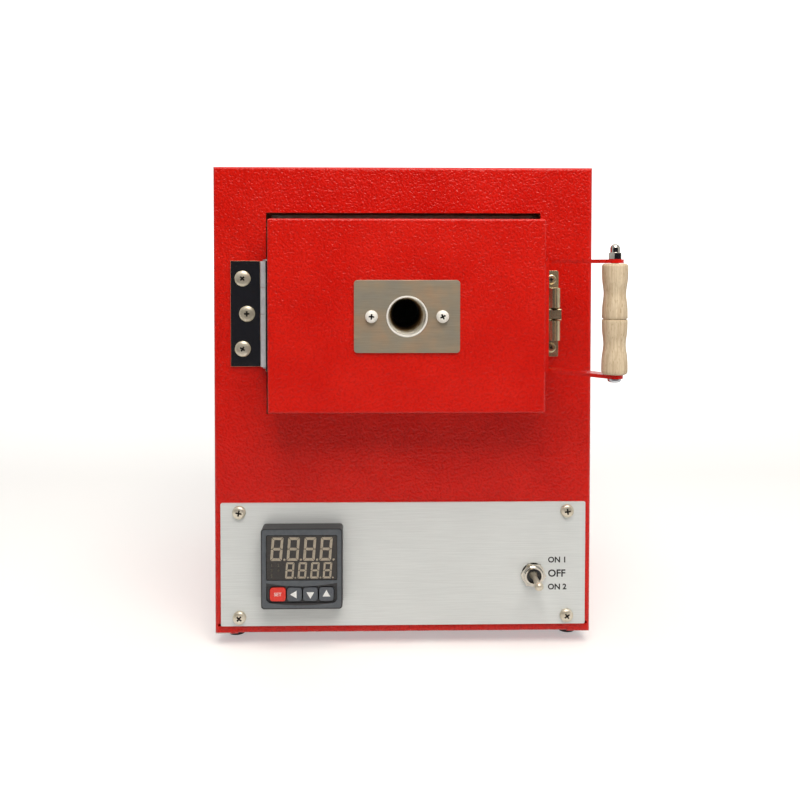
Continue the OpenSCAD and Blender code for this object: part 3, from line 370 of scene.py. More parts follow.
# Cold rolled steel with bright zinc: pale grey with a faint bluish spangle
def makeZinc():
    finish, tree, shader, place = startFinish("brightZinc", 1, 0.3)
    spangle = addNode(tree, "TexVoronoi", Vector=place, Scale=per(3))
    grain = addNode(tree, "TexNoise", Vector=place, Scale=per(0.5), Detail=4.0)
    tint = addNode(tree, "ValToRGB", {"stops": ((0.1, "#c3c6cb"), (0.9, "#a3a7ae"))}, Fac=spangle)
    rough = addNode(tree, "MapRange", Value=grain, To_Min=0.22, To_Max=0.42)
    skin = addNode(tree, "Bump", Height=grain, Strength=0.3, Distance=0.01 * mm)
    connect(tree, shader, {"Base Color": tint, "Roughness": rough, "Normal": skin})
    return finish


# Nickel plated steel, polished: mirror bright, with small smears and pits
def makeNickel(name, light, dark, sharp, dull):
    finish, tree, shader, place = startFinish(name, 1, sharp)
    smear = addNode(tree, "TexNoise", Vector=place, Scale=per(5), Detail=4.0, Roughness=0.6)
    pits = addNode(tree, "TexNoise", Vector=place, Scale=per(1.1), Detail=3.0)
    tint = addNode(tree, "ValToRGB", {"stops": ((0.3, light), (0.75, dark))}, Fac=smear)
    rough = addNode(tree, "MapRange", Value=smear, To_Min=sharp, To_Max=dull)
    skin = addNode(tree, "Bump", Height=pits, Strength=0.4, Distance=0.008 * mm)
    connect(tree, shader, {"Base Color": tint, "Roughness": rough, "Normal": skin})
    return finish


# Mild steel that has been hot: a brown scale with straw patches
def makeScaled():
    finish, tree, shader, place = startFinish("heatScaledSteel", 0.6, 0.6)
    patch = addNode(tree, "TexNoise", Vector=place, Scale=per(14), Detail=5.0, Roughness=0.6)
    grit = addNode(tree, "TexNoise", Vector=place, Scale=per(0.7), Detail=4.0)
    tint = addNode(tree, "ValToRGB",
                   {"stops": ((0.3, "#5f4533"), (0.52, "#8a6446"), (0.72, "#9c8163"))}, Fac=patch)
    skin = addNode(tree, "Bump", Height=grit, Strength=0.5, Distance=0.03 * mm)
    connect(tree, shader, {"Base Color": tint, "Normal": skin})
    return finish


# Austenitic stainless sheet, belt ground, then warmed by the heat behind it: grey, with
# straw clouds, and fine scratches along its length
def makeStainless():
    finish, tree, shader, place = startFinish("groundStainless", 0.45, 0.4)
    along = addNode(tree, "Mapping", Vector=place, Scale=(0.04, 1, 1))
    lines = addNode(tree, "TexNoise", Vector=along, Scale=per(0.4), Detail=3.0, Roughness=0.6)
    cloud = addNode(tree, "TexNoise", Vector=place, Scale=per(15), Detail=3.0)
    tint = addNode(tree, "ValToRGB",
                   {"stops": ((0.32, "#a39d8e"), (0.52, "#ada08b"), (0.72, "#bda184"))}, Fac=cloud)
    scratch = addNode(tree, "MapRange", Value=lines, From_Min=0.3, From_Max=0.7, To_Min=0.55,
                      To_Max=1.0)
    ground = addNode(tree, "Mix", {"data_type": "RGBA", "blend_type": "MULTIPLY"}, 2, _0=0.35,
                     _6=tint, _7=scratch)
    rough = addNode(tree, "MapRange", Value=lines, To_Min=0.28, To_Max=0.5)
    skin = addNode(tree, "Bump", Height=lines, Strength=0.4, Distance=0.008 * mm)
    connect(tree, shader, {"Base Color": ground, "Roughness": rough, "Normal": skin})
    return finish


# Aluminium sheet, brushed and clear anodised: matt silver grey, with satin lines that are
# 0.15 mm apart on the real one and drawn at 0.35 mm so that they show
def makeBrushedAluminium():
    finish, tree, shader, place = startFinish("brushedAnodisedAluminium", 0.2, 0.48)
    along = addNode(tree, "Mapping", Vector=place, Scale=(0.02, 1, 1))
    lines = addNode(tree, "TexNoise", Vector=along, Scale=per(0.35), Detail=4.0, Roughness=0.6)
    cloud = addNode(tree, "TexNoise", Vector=place, Scale=per(45), Detail=2.0)
    streak = addNode(tree, "ValToRGB", {"stops": ((0.35, "#ccd1d1"), (0.65, "#dee3e3"))}, Fac=lines)
    tint = addNode(tree, "ValToRGB", {"stops": ((0.3, "#d8dddd"), (0.7, "#d0d5d5"))}, Fac=cloud)
    sheet = addNode(tree, "Mix", {"data_type": "RGBA"}, 2, _0=0.5, _6=tint, _7=streak)
    rough = addNode(tree, "MapRange", Value=lines, To_Min=0.4, To_Max=0.58)
    skin = addNode(tree, "Bump", Height=lines, Strength=0.3, Distance=0.006 * mm)
    connect(tree, shader, {"Base Color": sheet, "Roughness": rough, "Normal": skin})
    return finish


# Aluminium extrusion as it leaves the press: dull silver with drag lines
def makeExtruded():
    finish, tree, shader, place = startFinish("extrudedAluminium", 1, 0.42)
    along = addNode(tree, "Mapping", Vector=place, Scale=(1, 0.03, 1))
    lines = addNode(tree, "TexNoise", Vector=along, Scale=per(0.5), Detail=3.0)
    tint = addNode(tree, "ValToRGB", {"stops": ((0.3, "#a4a7ab"), (0.7, "#b9bcc0"))}, Fac=lines)
    skin = addNode(tree, "Bump", Height=lines, Strength=0.3, Distance=0.01 * mm)
    connect(tree, shader, {"Base Color": tint, "Normal": skin})
    return finish


# Vacuum formed ceramic fibre: chalky off-white with a felted skin
def makeFibre():
    finish, tree, shader, place = startFinish("mouldedCeramicFibre", 0, 0.95, IOR=1.45)
    felt = addNode(tree, "TexNoise", Vector=place, Scale=per(1.2), Detail=6.0, Roughness=0.65)
    shade = addNode(tree, "TexNoise", Vector=place, Scale=per(9), Detail=4.0)
    tint = addNode(tree, "ValToRGB", {"stops": ((0.3, "#ece7db"), (0.7, "#d8d0c0"))}, Fac=shade)
    skin = addNode(tree, "Bump", Height=felt, Strength=0.6, Distance=0.25 * mm)
    connect(tree, shader, {"Base Color": tint, "Normal": skin})
    return finish


throat = {"x": 1.2, "z": 201.8, "radius": 11.7, "rim": 0.8, "browns": -137, "blackens": -117,
          "ragged": 16}


# The same fibre in the door, whose peephole is white at its mouth, scorched brown behind
# it with a ragged edge, and black with soot at its inner end
def makeScorchedFibre():
    finish = makeFibre()
    finish.name = "scorchedCeramicFibre"
    tree = finish.node_tree
    shader = tree.nodes["Principled BSDF"]
    place = addNode(tree, "TexCoord", out="Object")
    flake = addNode(tree, "TexNoise", Vector=place, Scale=per(3), Detail=3.0, Roughness=0.6)
    depth = addNode(tree, "SeparateXYZ", out="Y", Vector=place)
    ragged = addNode(tree, "Math", {"operation": "MULTIPLY_ADD"}, _0=flake,
                     _1=throat["ragged"] * mm, _2=depth)
    inside = addNode(tree, "MapRange", Value=ragged, From_Min=(throat["browns"] + 5) * mm,
                     From_Max=(throat["blackens"] + 8) * mm)
    scorch = addNode(tree, "ValToRGB", {"stops": ((0.0, "#ffffff"), (0.2, "#c9b08c"),
                                                  (0.5, "#7a5f45"), (0.95, "#1a1410"))}, Fac=inside)
    axis = (-throat["x"] * mm, 0, -throat["z"] * mm)
    fromAxis = addNode(tree, "Mapping", Vector=place, Location=axis, Scale=(1, 0, 1))
    away = addNode(tree, "VectorMath", {"operation": "LENGTH"}, "Value", _0=fromAxis)
    within = addNode(tree, "MapRange", Value=away, From_Min=throat["radius"] * mm,
                     From_Max=(throat["radius"] + throat["rim"]) * mm, To_Min=1.0, To_Max=0.0)
    pale = shader.inputs["Base Color"].links[0].from_socket
    tint = addNode(tree, "Mix", {"data_type": "RGBA", "blend_type": "MULTIPLY"}, 2, _0=within,
                   _6=pale, _7=scorch)
    connect(tree, shader, {"Base Color": tint})
    return finish


# Glazed electrical porcelain: warm white under a clear even gloss
def makePorcelain():
    finish, tree, shader, place = startFinish("glazedPorcelain", 0, 0.12, IOR=1.52, Coat_Weight=0.4)
    cloud = addNode(tree, "TexNoise", Vector=place, Scale=per(8), Detail=3.0)
    tint = addNode(tree, "ValToRGB", {"stops": ((0.3, "#f1ede2"), (0.7, "#e4dfd1"))}, Fac=cloud)
    skin = addNode(tree, "Bump", Height=cloud, Strength=0.2, Distance=0.05 * mm)
    connect(tree, shader, {"Base Color": tint, "Normal": skin})
    return finish


# Iron chromium aluminium heating wire after firing: dull grey brown oxide
def makeHotWire():
    finish, tree, shader, place = startFinish("oxidisedHeatingWire", 0.7, 0.6)
    grain = addNode(tree, "TexNoise", Vector=place, Scale=per(1.5), Detail=4.0)
    tint = addNode(tree, "ValToRGB", {"stops": ((0.3, "#6d6761"), (0.7, "#8c857d"))}, Fac=grain)
    skin = addNode(tree, "Bump", Height=grain, Strength=0.5, Distance=0.03 * mm)
    connect(tree, shader, {"Base Color": tint, "Normal": skin})
    return finish


# Smoked acrylic window: nearly black brown and glossy, with a little dust
def makeSmoked():
    finish, tree, shader, place = startFinish("smokedAcrylic", 0, 0.14, IOR=1.49)
    dust = addNode(tree, "TexNoise", Vector=place, Scale=per(3), Detail=5.0, Roughness=0.6)
    tint = addNode(tree, "ValToRGB", {"stops": ((0.35, "#1b1815"), (0.75, "#26221e"))}, Fac=dust)
    rough = addNode(tree, "MapRange", Value=dust, To_Min=0.08, To_Max=0.22)
    connect(tree, shader, {"Base Color": tint, "Roughness": rough})
    return finish


# Moulded plastics, screen inks and fired ceramics: one colour with a slight cloud, and a
# grain that only takes the edge off the gloss
def makeMoulded(name, light, dark, roughness, grainMm, deepMm=0.02, ior=1.5):
    finish, tree, shader, place = startFinish(name, 0, roughness, IOR=ior)
    cloud = addNode(tree, "TexNoise", Vector=place, Scale=per(grainMm), Detail=3.0)
    tint = addNode(tree, "ValToRGB", {"stops": ((0.3, dark), (0.7, light))}, Fac=cloud)
    skin = addNode(tree, "Bump", Height=cloud, Strength=0.4, Distance=deepMm * mm)
    connect(tree, shader, {"Base Color": tint, "Normal": skin})
    return finish


# Natural rubber, compression moulded: dull black grey with dust in its pores
def makeRubber():
    finish, tree, shader, place = startFinish("mouldedRubber", 0, 0.75, IOR=1.52)
    dust = addNode(tree, "TexNoise", Vector=place, Scale=per(2.5), Detail=5.0, Roughness=0.6)
    pores = addNode(tree, "TexNoise", Vector=place, Scale=per(0.6))
    tint = addNode(tree, "ValToRGB", {"stops": ((0.35, "#141414"), (0.8, "#2b2a28"))}, Fac=dust)
    skin = addNode(tree, "Bump", Height=pores, Strength=0.4, Distance=0.05 * mm)
    connect(tree, shader, {"Base Color": tint, "Normal": skin})
    return finish


# Turned beech, sanded and left unvarnished: pale greyed straw, with fine growth lines along
# the grip and the short brown flecks that mark beech
def makeBeech():
    finish, tree, shader, place = startFinish("turnedBeech", 0, 0.6, IOR=1.45)
    fineWay = addNode(tree, "Mapping", Vector=place, Scale=(1, 1, 0.04))
    fleckWay = addNode(tree, "Mapping", Vector=place, Scale=(1, 1, 0.16))
    lines = addNode(tree, "TexNoise", Vector=fineWay, Scale=per(1.0), Detail=4.0, Roughness=0.65)
    broad = addNode(tree, "TexNoise", Vector=fineWay, Scale=per(5), Detail=2.0)
    flecks = addNode(tree, "TexNoise", Vector=fleckWay, Scale=per(0.45), Detail=2.0)
    pale = addNode(tree, "ValToRGB", {"stops": ((0.3, "#d8c6a8"), (0.7, "#c8b292"))}, Fac=broad)
    grain = addNode(tree, "ValToRGB", {"stops": ((0.36, "#ac9474"), (0.6, "#decfb3"))}, Fac=lines)
    wood = addNode(tree, "Mix", {"data_type": "RGBA"}, 2, _0=0.5, _6=pale, _7=grain)
    mark = addNode(tree, "MapRange", Value=flecks, From_Min=0.6, From_Max=0.68, To_Min=0.0,
                   To_Max=0.5)
    tint = addNode(tree, "Mix", {"data_type": "RGBA"}, 2, _0=mark, _6=wood, _7="#96764f")
    skin = addNode(tree, "Bump", Height=lines, Strength=0.35, Distance=0.03 * mm)
    connect(tree, shader, {"Base Color": tint, "Normal": skin})
    return finish


finishes = {
    "red_coat": makeRedCoat(),
    "zinc_steel": makeZinc(),
    "polished_steel": makeNickel("brightNickel", "#cfcabf", "#aaa69c", 0.06, 0.2),
    "scaled_steel": makeScaled(),
    "stainless": makeStainless(),
    "brushed_aluminium": makeBrushedAluminium(),
    "sink_aluminium": makeExtruded(),
    "ceramic_fibre": makeFibre(),
    "glazed_porcelain": makePorcelain(),
    "probe_ceramic": makeMoulded("sinteredAlumina", "#e2dccd", "#cfc7b5", 0.6, 0.8, 0.03, 1.7),
    "heating_wire": makeHotWire(),
    "black_plastic": makeMoulded("blackMouldedAbs", "#222226", "#17171a", 0.42, 0.35, 0.02, 1.53),
    "window_plastic": makeSmoked(),
    "foot_rubber": makeRubber(),
    # brass under nickel that has worn thin, so it is a warm olive grey
    "brass_plate": makeNickel("wornNickelOnBrass", "#dccfae", "#b5a680", 0.14, 0.32),
    "beech": makeBeech(),
    "red_key": makeMoulded("redSiliconeKey", "#e23a2c", "#cf2a20", 0.4, 1.2),
    "grey_keys": makeMoulded("greySiliconeKey", "#565b62", "#4a4f56", 0.5, 1.2),
}
throatFibre = makeScorchedFibre()
screwNickel = makeNickel("satinNickel", "#dfd8c8", "#b7ae99", 0.28, 0.42)
knuckleSteel = makeNickel("rolledSatinSteel", "#e2e2e6", "#c4c4ca", 0.4, 0.55)
# painted highlight: a paler copy of the nickel for the rounded edges of the hinge leaves
edgeHighlightNickel = makeNickel("paintedEdgeHighlightNickel", "#e6deba", "#cbc198", 0.35, 0.5)
paleSteel = makeNickel("bandedPaleSteel", "#f0eee9", "#dedbd2", 0.5, 0.65)
for finish, share in ((screwNickel, 0.6), (knuckleSteel, 0.5), (edgeHighlightNickel, 0.4), (paleSteel, 0.25),
                      (finishes["brass_plate"], 0.8)):  # dulled plating scatters the rest; on the leaf edges this is a painted highlight
    finish.node_tree.nodes["Principled BSDF"].inputs["Metallic"].default_value = share
# painted shade for the walls of the cross recesses
recessShade = makeMoulded("paintedRecessShade", "#2a241b", "#15110c", 0.7, 0.5)
frameLacquer = makeMoulded("blueGreyLacquer", "#52585e", "#484e54", 0.38, 2.0)
unlitSegment = makeMoulded("unlitSegment", "#aaa08f", "#938a7a", 0.5, 1.0)
dimPrint = makeMoulded("dimLegendInk", "#5a5546", "#4a4538", 0.6, 1.0)
whiteInk = makeMoulded("whiteScreenInk", "#f2f3f2", "#dfe1e0", 0.5, 1.0)
blackInk = makeMoulded("blackScreenInk", "#232427", "#17181a", 0.55, 1.0)
print("finishes are mixed")


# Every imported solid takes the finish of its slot; the visible ones are dressed below
slotOf = {part["node"]: part["material_slot"] for part in frame["record"]["subparts"]}
for nodeName, slotName in slotOf.items():
    giveFinish(nodes[nodeName], finishes[slotName])
giveFinish(nodes["door_insulation"], throatFibre)
giveFinish(nodes["peephole_sleeve"], paleSteel)


casing = {"edge": 0.3, "thinEdge": 0.2, "fastenerEdge": 0.25, "leafEdge": 0.75}
for nodeName in ("front_panel", "wrap_cover", "rear_panel", "base_plate", "door_shell",
                 "handle_bracket"):
    dressCopy(nodeName, finishes["red_coat"], casing["edge"])
for nodeName in ("opening_collar", "peephole_plate", "control_plate"):
    dressCopy(nodeName, finishes[slotOf[nodeName]], casing["thinEdge"])
for nodeName in ("rubber_feet", "hinge_pin", "grip_nut", "toggle_nut", "catch_body", "strike",
                 "catch_plugs", "controller_case", "controller_window", "power_inlet",
                 "chassis_shelf", "solid_state_relay", "relay_heat_sink", "terminal_blocks"):
    dressCopy(nodeName, finishes[slotOf[nodeName]], casing["fastenerEdge"])
hingePin = {"x": -81.6, "y": -128.8, "knuckle": 3.8}
for nodeName in ("hinge_body_leaf", "hinge_door_leaf"):  # a mirror leaf, satin knuckles, edges with a painted highlight
    leaf = dressCopy(nodeName, finishes["polished_steel"], casing["leafEdge"], 60)
    leaf.data.materials.append(knuckleSteel)
    leaf.data.materials.append(edgeHighlightNickel)
    for face in leaf.data.polygons:
        fromPin = math.hypot(face.center.x / mm - hingePin["x"], face.center.y / mm - hingePin["y"])
        rounded = 0.2 < abs(face.normal.y) < 0.97  # neither a broad face nor an end
        # the rounded edge faces take the painted highlight
        face.material_index = 1 if fromPin < hingePin["knuckle"] else 2 if rounded else 0
for nodeName in ("element_left", "element_right", "catch_ball_upper", "catch_ball_lower"):
    dressCopy(nodeName, finishes[slotOf[nodeName]])
dressCopy("peephole_sleeve", paleSteel, casing["fastenerEdge"])
print("sheet metal is dressed")


# A cross recess: two crossed wedges that narrow towards their tip, and carry painted shade onto the
# recess walls
def crossCutter(head):
    blades = []
    for turned in (0, 90):
        deselectAll()
        bpy.ops.mesh.primitive_cube_add(size=1, location=(0, 0, 0))
        blade = bpy.context.object
        blade.scale = (head["arm"] * mm, head["slot"] * mm, 2 * head["deep"] * mm)
        blade.rotation_euler = (0, 0, math.radians(turned))
        settle(blade)
        pickFaces(blade, lambda c, n: n.z < -0.9)
        bpy.ops.transform.resize(value=(0.5, 0.6, 1) if not turned else (0.6, 0.5, 1),
                                 center_override=(0, 0, 0))
        bpy.ops.object.mode_set(mode="OBJECT")
        # the blade's dark finish is painted shade on the recess walls
        giveFinish(blade, recessShade)
        blades.append(blade)
    return blades


# A shank narrows over its tip. A pan head stands on a straight rim, and a sunk one hardly has any
headShape = {"tipShare": 0.7, "tip": 0.5, "rimShare": 0.35, "sunkRim": 0.05, "dome": 0.6,
             "sunkDome": 1.0, "steps": (18, 36, 54, 70, 82)}


def crossHead(name, head, finish):  # head: diameter, height, shank, length, sink
    r, h = head["diameter"] / 2, head["height"]
    shank, long, sink = head["shank"] / 2, head["length"], head.get("sink", 0)
    base = headShape["sunkRim"] if sink else h * headShape["rimShare"]
    dome = headShape["sunkDome"] if sink else headShape["dome"]
    profile = [(shank * headShape["tipShare"], -long), (shank, -long + headShape["tip"])]
    profile += [(shank, -sink - shank * 0.3 if sink else 0), (r, 0), (r, base)]
    for a in headShape["steps"]:
        profile.append((r * (math.cos(math.radians(a)) ** dome),
                        base + (h - base) * math.sin(math.radians(a))))
    screw = turn(name, profile, 40)
    giveFinish(screw, finish)
    for blade in crossCutter(head):
        blade.location = (0, 0, h * mm)
        settle(blade)
        takeHold(screw)
        cut = screw.modifiers.new("recess", "BOOLEAN")
        cut.operation = "DIFFERENCE"
        cut.solver = "EXACT"
        # the recess walls take the blades' painted shade
        cut.material_mode = "TRANSFER"
        cut.object = blade
        bpy.ops.object.modifier_apply(modifier="recess")
        bpy.data.objects.remove(blade)
    screw.rotation_euler = (math.radians(90), 0, 0)  # the head now faces -Y
    settle(screw)
    shadeRound(screw, 32)
    return screw


facing = {"front": (0, 0, 0), "right": (0, 0, 90), "left": (0, 0, -90), "rear": (0, 0, 180),
          "down": (90, 0, 0)}


def setScrews(name, head, ways, places, body, stands, finish):
    pattern = crossHead(name + "_pattern", head, finish)
    made = []
    for index, place in enumerate(places):
        takeHold(pattern)
        bpy.ops.object.duplicate()
        screw = bpy.context.object
        spin = (37 * index * index + 23 * index + head.get("start", 12)) % 90
        screw.rotation_euler = (0, math.radians(spin), 0)
        settle(screw)
        way = ways if isinstance(ways, str) else ways[index]
        screw.rotation_euler = [math.radians(v) for v in facing[way]]
        screw.location = [v * mm for v in place]
        settle(screw)
        made.append(screw)
    bpy.data.objects.remove(pattern)
    return hand(joinAll(made, name), body, None, [stands])


doorMid, plateY = throat["z"], -126.5
plateScrew = {"diameter": 8, "height": 2.6, "shank": 4, "length": 8, "slot": 1.25, "arm": 4.9,
              "deep": 2, "start": 40, "mid": (0.2, 50.6), "half": (98.8, 31.85)}
setScrews("plate_cross_screws", plateScrew, "front",
          [(plateScrew["mid"][0] + sx * plateScrew["half"][0], plateY,
            plateScrew["mid"][1] + sz * plateScrew["half"][1]) for sx in (-1, 1) for sz in (-1, 1)],
          "casing", "control_plate_screws", screwNickel)
peepholeScrew = {**plateScrew, "diameter": 7.2, "height": 2.4, "length": 7, "slot": 1.15,
                 "arm": 4.3, "start": 5, "y": -156.2, "half": 20.1}
setScrews("peephole_cross_screws", peepholeScrew, "front",
          [(throat["x"] + s * peepholeScrew["half"], peepholeScrew["y"], doorMid) for s in (-1, 1)],
          "door", "peephole_screws", paleSteel)
hingeScrew = {"diameter": 9.3, "height": 1.3, "shank": 4.8, "length": 7, "sink": 1.2, "slot": 1.25,
              "arm": 4.4, "deep": 1.7, "start": 30}
leafHoles = ((14.4, -21), (11.8, 0), (14.4, 21))  # out from the pin, and up from its middle
setScrews("hinge_cross_screws", hingeScrew, "front",
          [(hingePin["x"] - out, plateY, doorMid + up) for out, up in leafHoles],
          "casing", "hinge_body_screws", screwNickel)
hingeDoorScrew = {**hingeScrew, "diameter": 7.9, "height": 0.6, "shank": 4, "length": 6, "arm": 4,
                  "deep": 1.2, "x": -79.3}
setScrews("hinge_door_cross_screws", hingeDoorScrew, "left",
          [(hingeDoorScrew["x"], hingePin["y"] - out, doorMid + up) for out, up in leafHoles],
          "door", "hinge_door_screws", screwNickel)
handleScrew = {**plateScrew, "diameter": 7.6, "height": 0.8, "arm": 3.6, "deep": 0.7, "start": 61,
               "x": 82.2, "y": -145, "half": 18}
setScrews("handle_cross_screws", handleScrew, "right",  # coated with the door
          [(handleScrew["x"], handleScrew["y"], doorMid + s * handleScrew["half"])
           for s in (-1, 1)], "door", "handle_screws", finishes["red_coat"])
catchScrew = {"diameter": 5.7, "height": 0.5, "shank": 3, "length": 7, "sink": 1, "slot": 0.85,
              "arm": 3, "deep": 1.2, "start": 20, "x": 88.8, "half": 20.5}
setScrews("catch_cross_screws", catchScrew, "front",
          [(catchScrew["x"], plateY, doorMid + s * catchScrew["half"]) for s in (-1, 1)],
          "casing", "catch_screws", finishes["brass_plate"])
strikeScrew = {**catchScrew, "diameter": 5.3, "height": 0.2, "length": 6, "x": 81.7, "y": -131.6,
               "half": 7.2}
setScrews("strike_cross_screws", strikeScrew, "right",
          [(strikeScrew["x"], strikeScrew["y"], doorMid + s * strikeScrew["half"])
           for s in (-1, 1)], "door", "strike_screws", finishes["brass_plate"])
sideScrew = {"diameter": 6, "height": 2, "shank": 3, "length": 6, "slot": 0.85, "arm": 3.4,
             "deep": 1.3, "x": 112.25, "under": (60, -117, 8.15),
             "rows": ((-80, 17.35), (70, 17.35), (118, 249.5), (118, 89.35))}
underX, underY, underZ = sideScrew["under"]
setScrews("case_cross_screws", sideScrew, ["left"] * 4 + ["right"] * 4 + ["down"] * 2,
          [(s * sideScrew["x"], y, z) for s in (-1, 1) for y, z in sideScrew["rows"]]
          + [(s * underX, underY, underZ) for s in (-1, 1)],
          "casing", "case_screws", finishes["zinc_steel"])
inletScrew = {**sideScrew, "diameter": 5.6, "length": 9, "mid": (60, 127.5, 52.5), "half": 20}
inletX, inletY, inletZ = inletScrew["mid"]
setScrews("inlet_cross_screws", inletScrew, "rear",
          [(inletX + s * inletScrew["half"], inletY, inletZ) for s in (-1, 1)],
          "casing", "inlet_screws", finishes["zinc_steel"])
footScrew = {**sideScrew, "diameter": 5.6, "length": 7.5, "half": (104, 103), "z": 5}
setScrews("foot_cross_screws", footScrew, "down",
          [(sx * footScrew["half"][0], sy * footScrew["half"][1], footScrew["z"])
           for sx in (-1, 1) for sy in (-1, 1)], "casing", "foot_screws", finishes["zinc_steel"])
grip = {"length": 60, "diameter": 14.8, "groove": 0.75, "grooveDeep": 0.65, "x": 112.9, "y": -179,
        "z": doorMid, "endRound": 1.7, "boltZ": 169.6, "slack": 0.35, "waist": (1.05, 0.46, 0.2),
        "middle": (0.25, 0, 0.3), "ends": (0.1, 1, 0.25)}  # each hollow: deep, where, how wide
gripBolt = {**plateScrew, "diameter": 7.2, "height": 2.3, "length": 68.4, "arm": 4}
setScrews("grip_cross_bolt", gripBolt, "down", [(grip["x"], grip["y"], grip["boltZ"])], "door",
          "grip_bolt", finishes["zinc_steel"])
print("screws are in")


def gripRadius(u):  # u runs from the middle, 0, to an end, 1
    radius = grip["diameter"] / 2 - grip["slack"]
    for deep, where, wide in (grip["waist"], grip["middle"], grip["ends"]):
        radius -= deep * math.exp(-((u - where) / wide) ** 2)
    return radius


def makeGrip():
    half, rounded = grip["length"] / 2, grip["endRound"]
    deep, wide = grip["grooveDeep"], grip["groove"] / 2
    flank = 1 - rounded / half
    side = [(gripRadius(0) - deep, 0), (gripRadius(0) - deep, wide * 0.6),
            (gripRadius(0) - 0.15, wide), (gripRadius(0), wide + 0.25)]
    side += [(gripRadius(flank * i / 26), half * flank * i / 26) for i in range(2, 27)]
    side += [(gripRadius(flank) - rounded * (1 - math.cos(math.radians(a))),
              half - rounded + rounded * math.sin(math.radians(a))) for a in (18, 36, 54, 72, 90)]
    profile = [(r, -z) for r, z in reversed(side[1:])] + side
    wood = turn("turned_grip", profile, 64)
    wood.location = (grip["x"] * mm, grip["y"] * mm, grip["z"] * mm)
    settle(wood)
    shadeRound(wood, 40)
    hand(wood, "grip", finishes["beech"], ["wooden_grip"])


makeGrip()
print("grip is turned")


toggle = {"x": 78.6, "z": 43.8, "pivotY": -127, "length": 22.2, "tip": 2.6, "ball": 2.6,
          "bush": 11.8, "bore": 9, "core": 10.7, "bushFront": -130.4, "plate": plateY,
          "bodyFront": -122.5, "pitch": 0.75, "threadDeep": 0.35, "tuckedIn": -0.3}


def standAt(piece, y):  # turned shapes are drawn along Z and then face -Y
    piece.rotation_euler = (math.radians(90), 0, 0)
    piece.location = (toggle["x"] * mm, y * mm, toggle["z"] * mm)
    return settle(piece)


def makeLever():
    long, tip, ball = toggle["length"], toggle["tip"], toggle["ball"]
    profile = [(1.5, -3), (1.5, -2.3)] + [
        (ball * math.cos(math.radians(a)), ball * math.sin(math.radians(a)))
        for a in range(-50, 46, 12)]
    profile += [(1.75, 2.4), (1.55, 4), (1.5, 6.5), (1.7, 11), (2.15, 16),
                (tip - 0.1, long - tip - 0.6)]
    profile += [(tip * math.cos(math.radians(a)), long - tip + tip * math.sin(math.radians(a)))
                for a in (0, 15, 30, 45, 58, 70, 80, 86)]
    lever = standAt(turn("lever_bat", profile, 40), toggle["pivotY"])
    shadeRound(lever, 50)
    hand(lever, "lever", screwNickel, ["toggle_lever"])


# The switch body's bush is drawn in, and a nickelled sleeve with thread rings wraps it
def makeBush():
    body = dressCopy("toggle_body", finishes["black_plastic"], casing["fastenerEdge"])
    bush, core = toggle["bush"] / 2, toggle["core"] / 2
    pickPoints(body, lambda p: p.y < toggle["bodyFront"]
               and bush - 0.5 < math.hypot(p.x - toggle["x"], p.z - toggle["z"]) < bush + 0.1)
    share = core / bush
    bpy.ops.transform.resize(value=(share, 1, share),
                             center_override=(toggle["x"] * mm, 0, toggle["z"] * mm))
    bpy.ops.object.mode_set(mode="OBJECT")
    outer, inner, lining = bush - 0.02, core + 0.02, toggle["bore"] / 2 - 0.03
    front, root = toggle["plate"] - toggle["bushFront"], outer - toggle["threadDeep"]
    y = toggle["tuckedIn"]
    profile = [(inner, y), (root, y)]
    while y + toggle["pitch"] < front - 0.2:
        profile += [(outer, y + toggle["pitch"] / 2), (root, y + toggle["pitch"])]
        y += toggle["pitch"]
    profile += [(root, front - 0.1), (outer - 0.6, front + 0.05), (lining + 0.2, front + 0.05),
                (lining, front - 0.15), (lining, 0.6), (lining + 0.02, 0.6),
                (lining + 0.02, front + 0.01), (inner, front + 0.01), (inner, toggle["tuckedIn"])]
    sleeve = turn("bush_thread", profile, 56)
    pickFaces(sleeve, lambda c, n: abs(c.x) < 0.01 and abs(c.y) < 0.01 and c.z < 0.2)
    bpy.ops.mesh.delete(type="FACE")
    bpy.ops.object.mode_set(mode="OBJECT")
    faceOutwards(sleeve)
    standAt(sleeve, toggle["plate"])
    shadeRound(sleeve, 28)
    hand(sleeve, "casing", finishes["polished_steel"])


makeLever()
makeBush()

switchWords = {"x": 87.6, "frontY": -126.53, "thick": 0.05, "bold": 0.15,
               "rows": (("ON 1", 3.3, 52.4), ("OFF", 4.2, 44.1), ("ON 2", 3.3, 35.9))}
words = [flatWord("word", text, high, switchWords["x"], z, switchWords["frontY"],
                  switchWords["thick"], bold=switchWords["bold"])
         for text, high, z in switchWords["rows"]]
hand(joinAll(words, "switch_words"), "casing", blackInk)
print("switch is in")


control = {"x": -60.3, "z": 51.6, "frontY": -136.9, "rim": 46.6, "windowW": 42, "windowTop": 71.7,
           "windowFoot": 44.7, "keysTop": 43.3, "keysMid": 41.2, "keysFoot": 31.6, "keysLow": 29.9,
           "glassY": -136.6, "plateThick": 0.25, "sunk": 0.2, "corner": 1.6, "windowCorner": 0.8,
           "upperSteps": 8, "lowerSteps": 12, "keyEdge": 0.3}


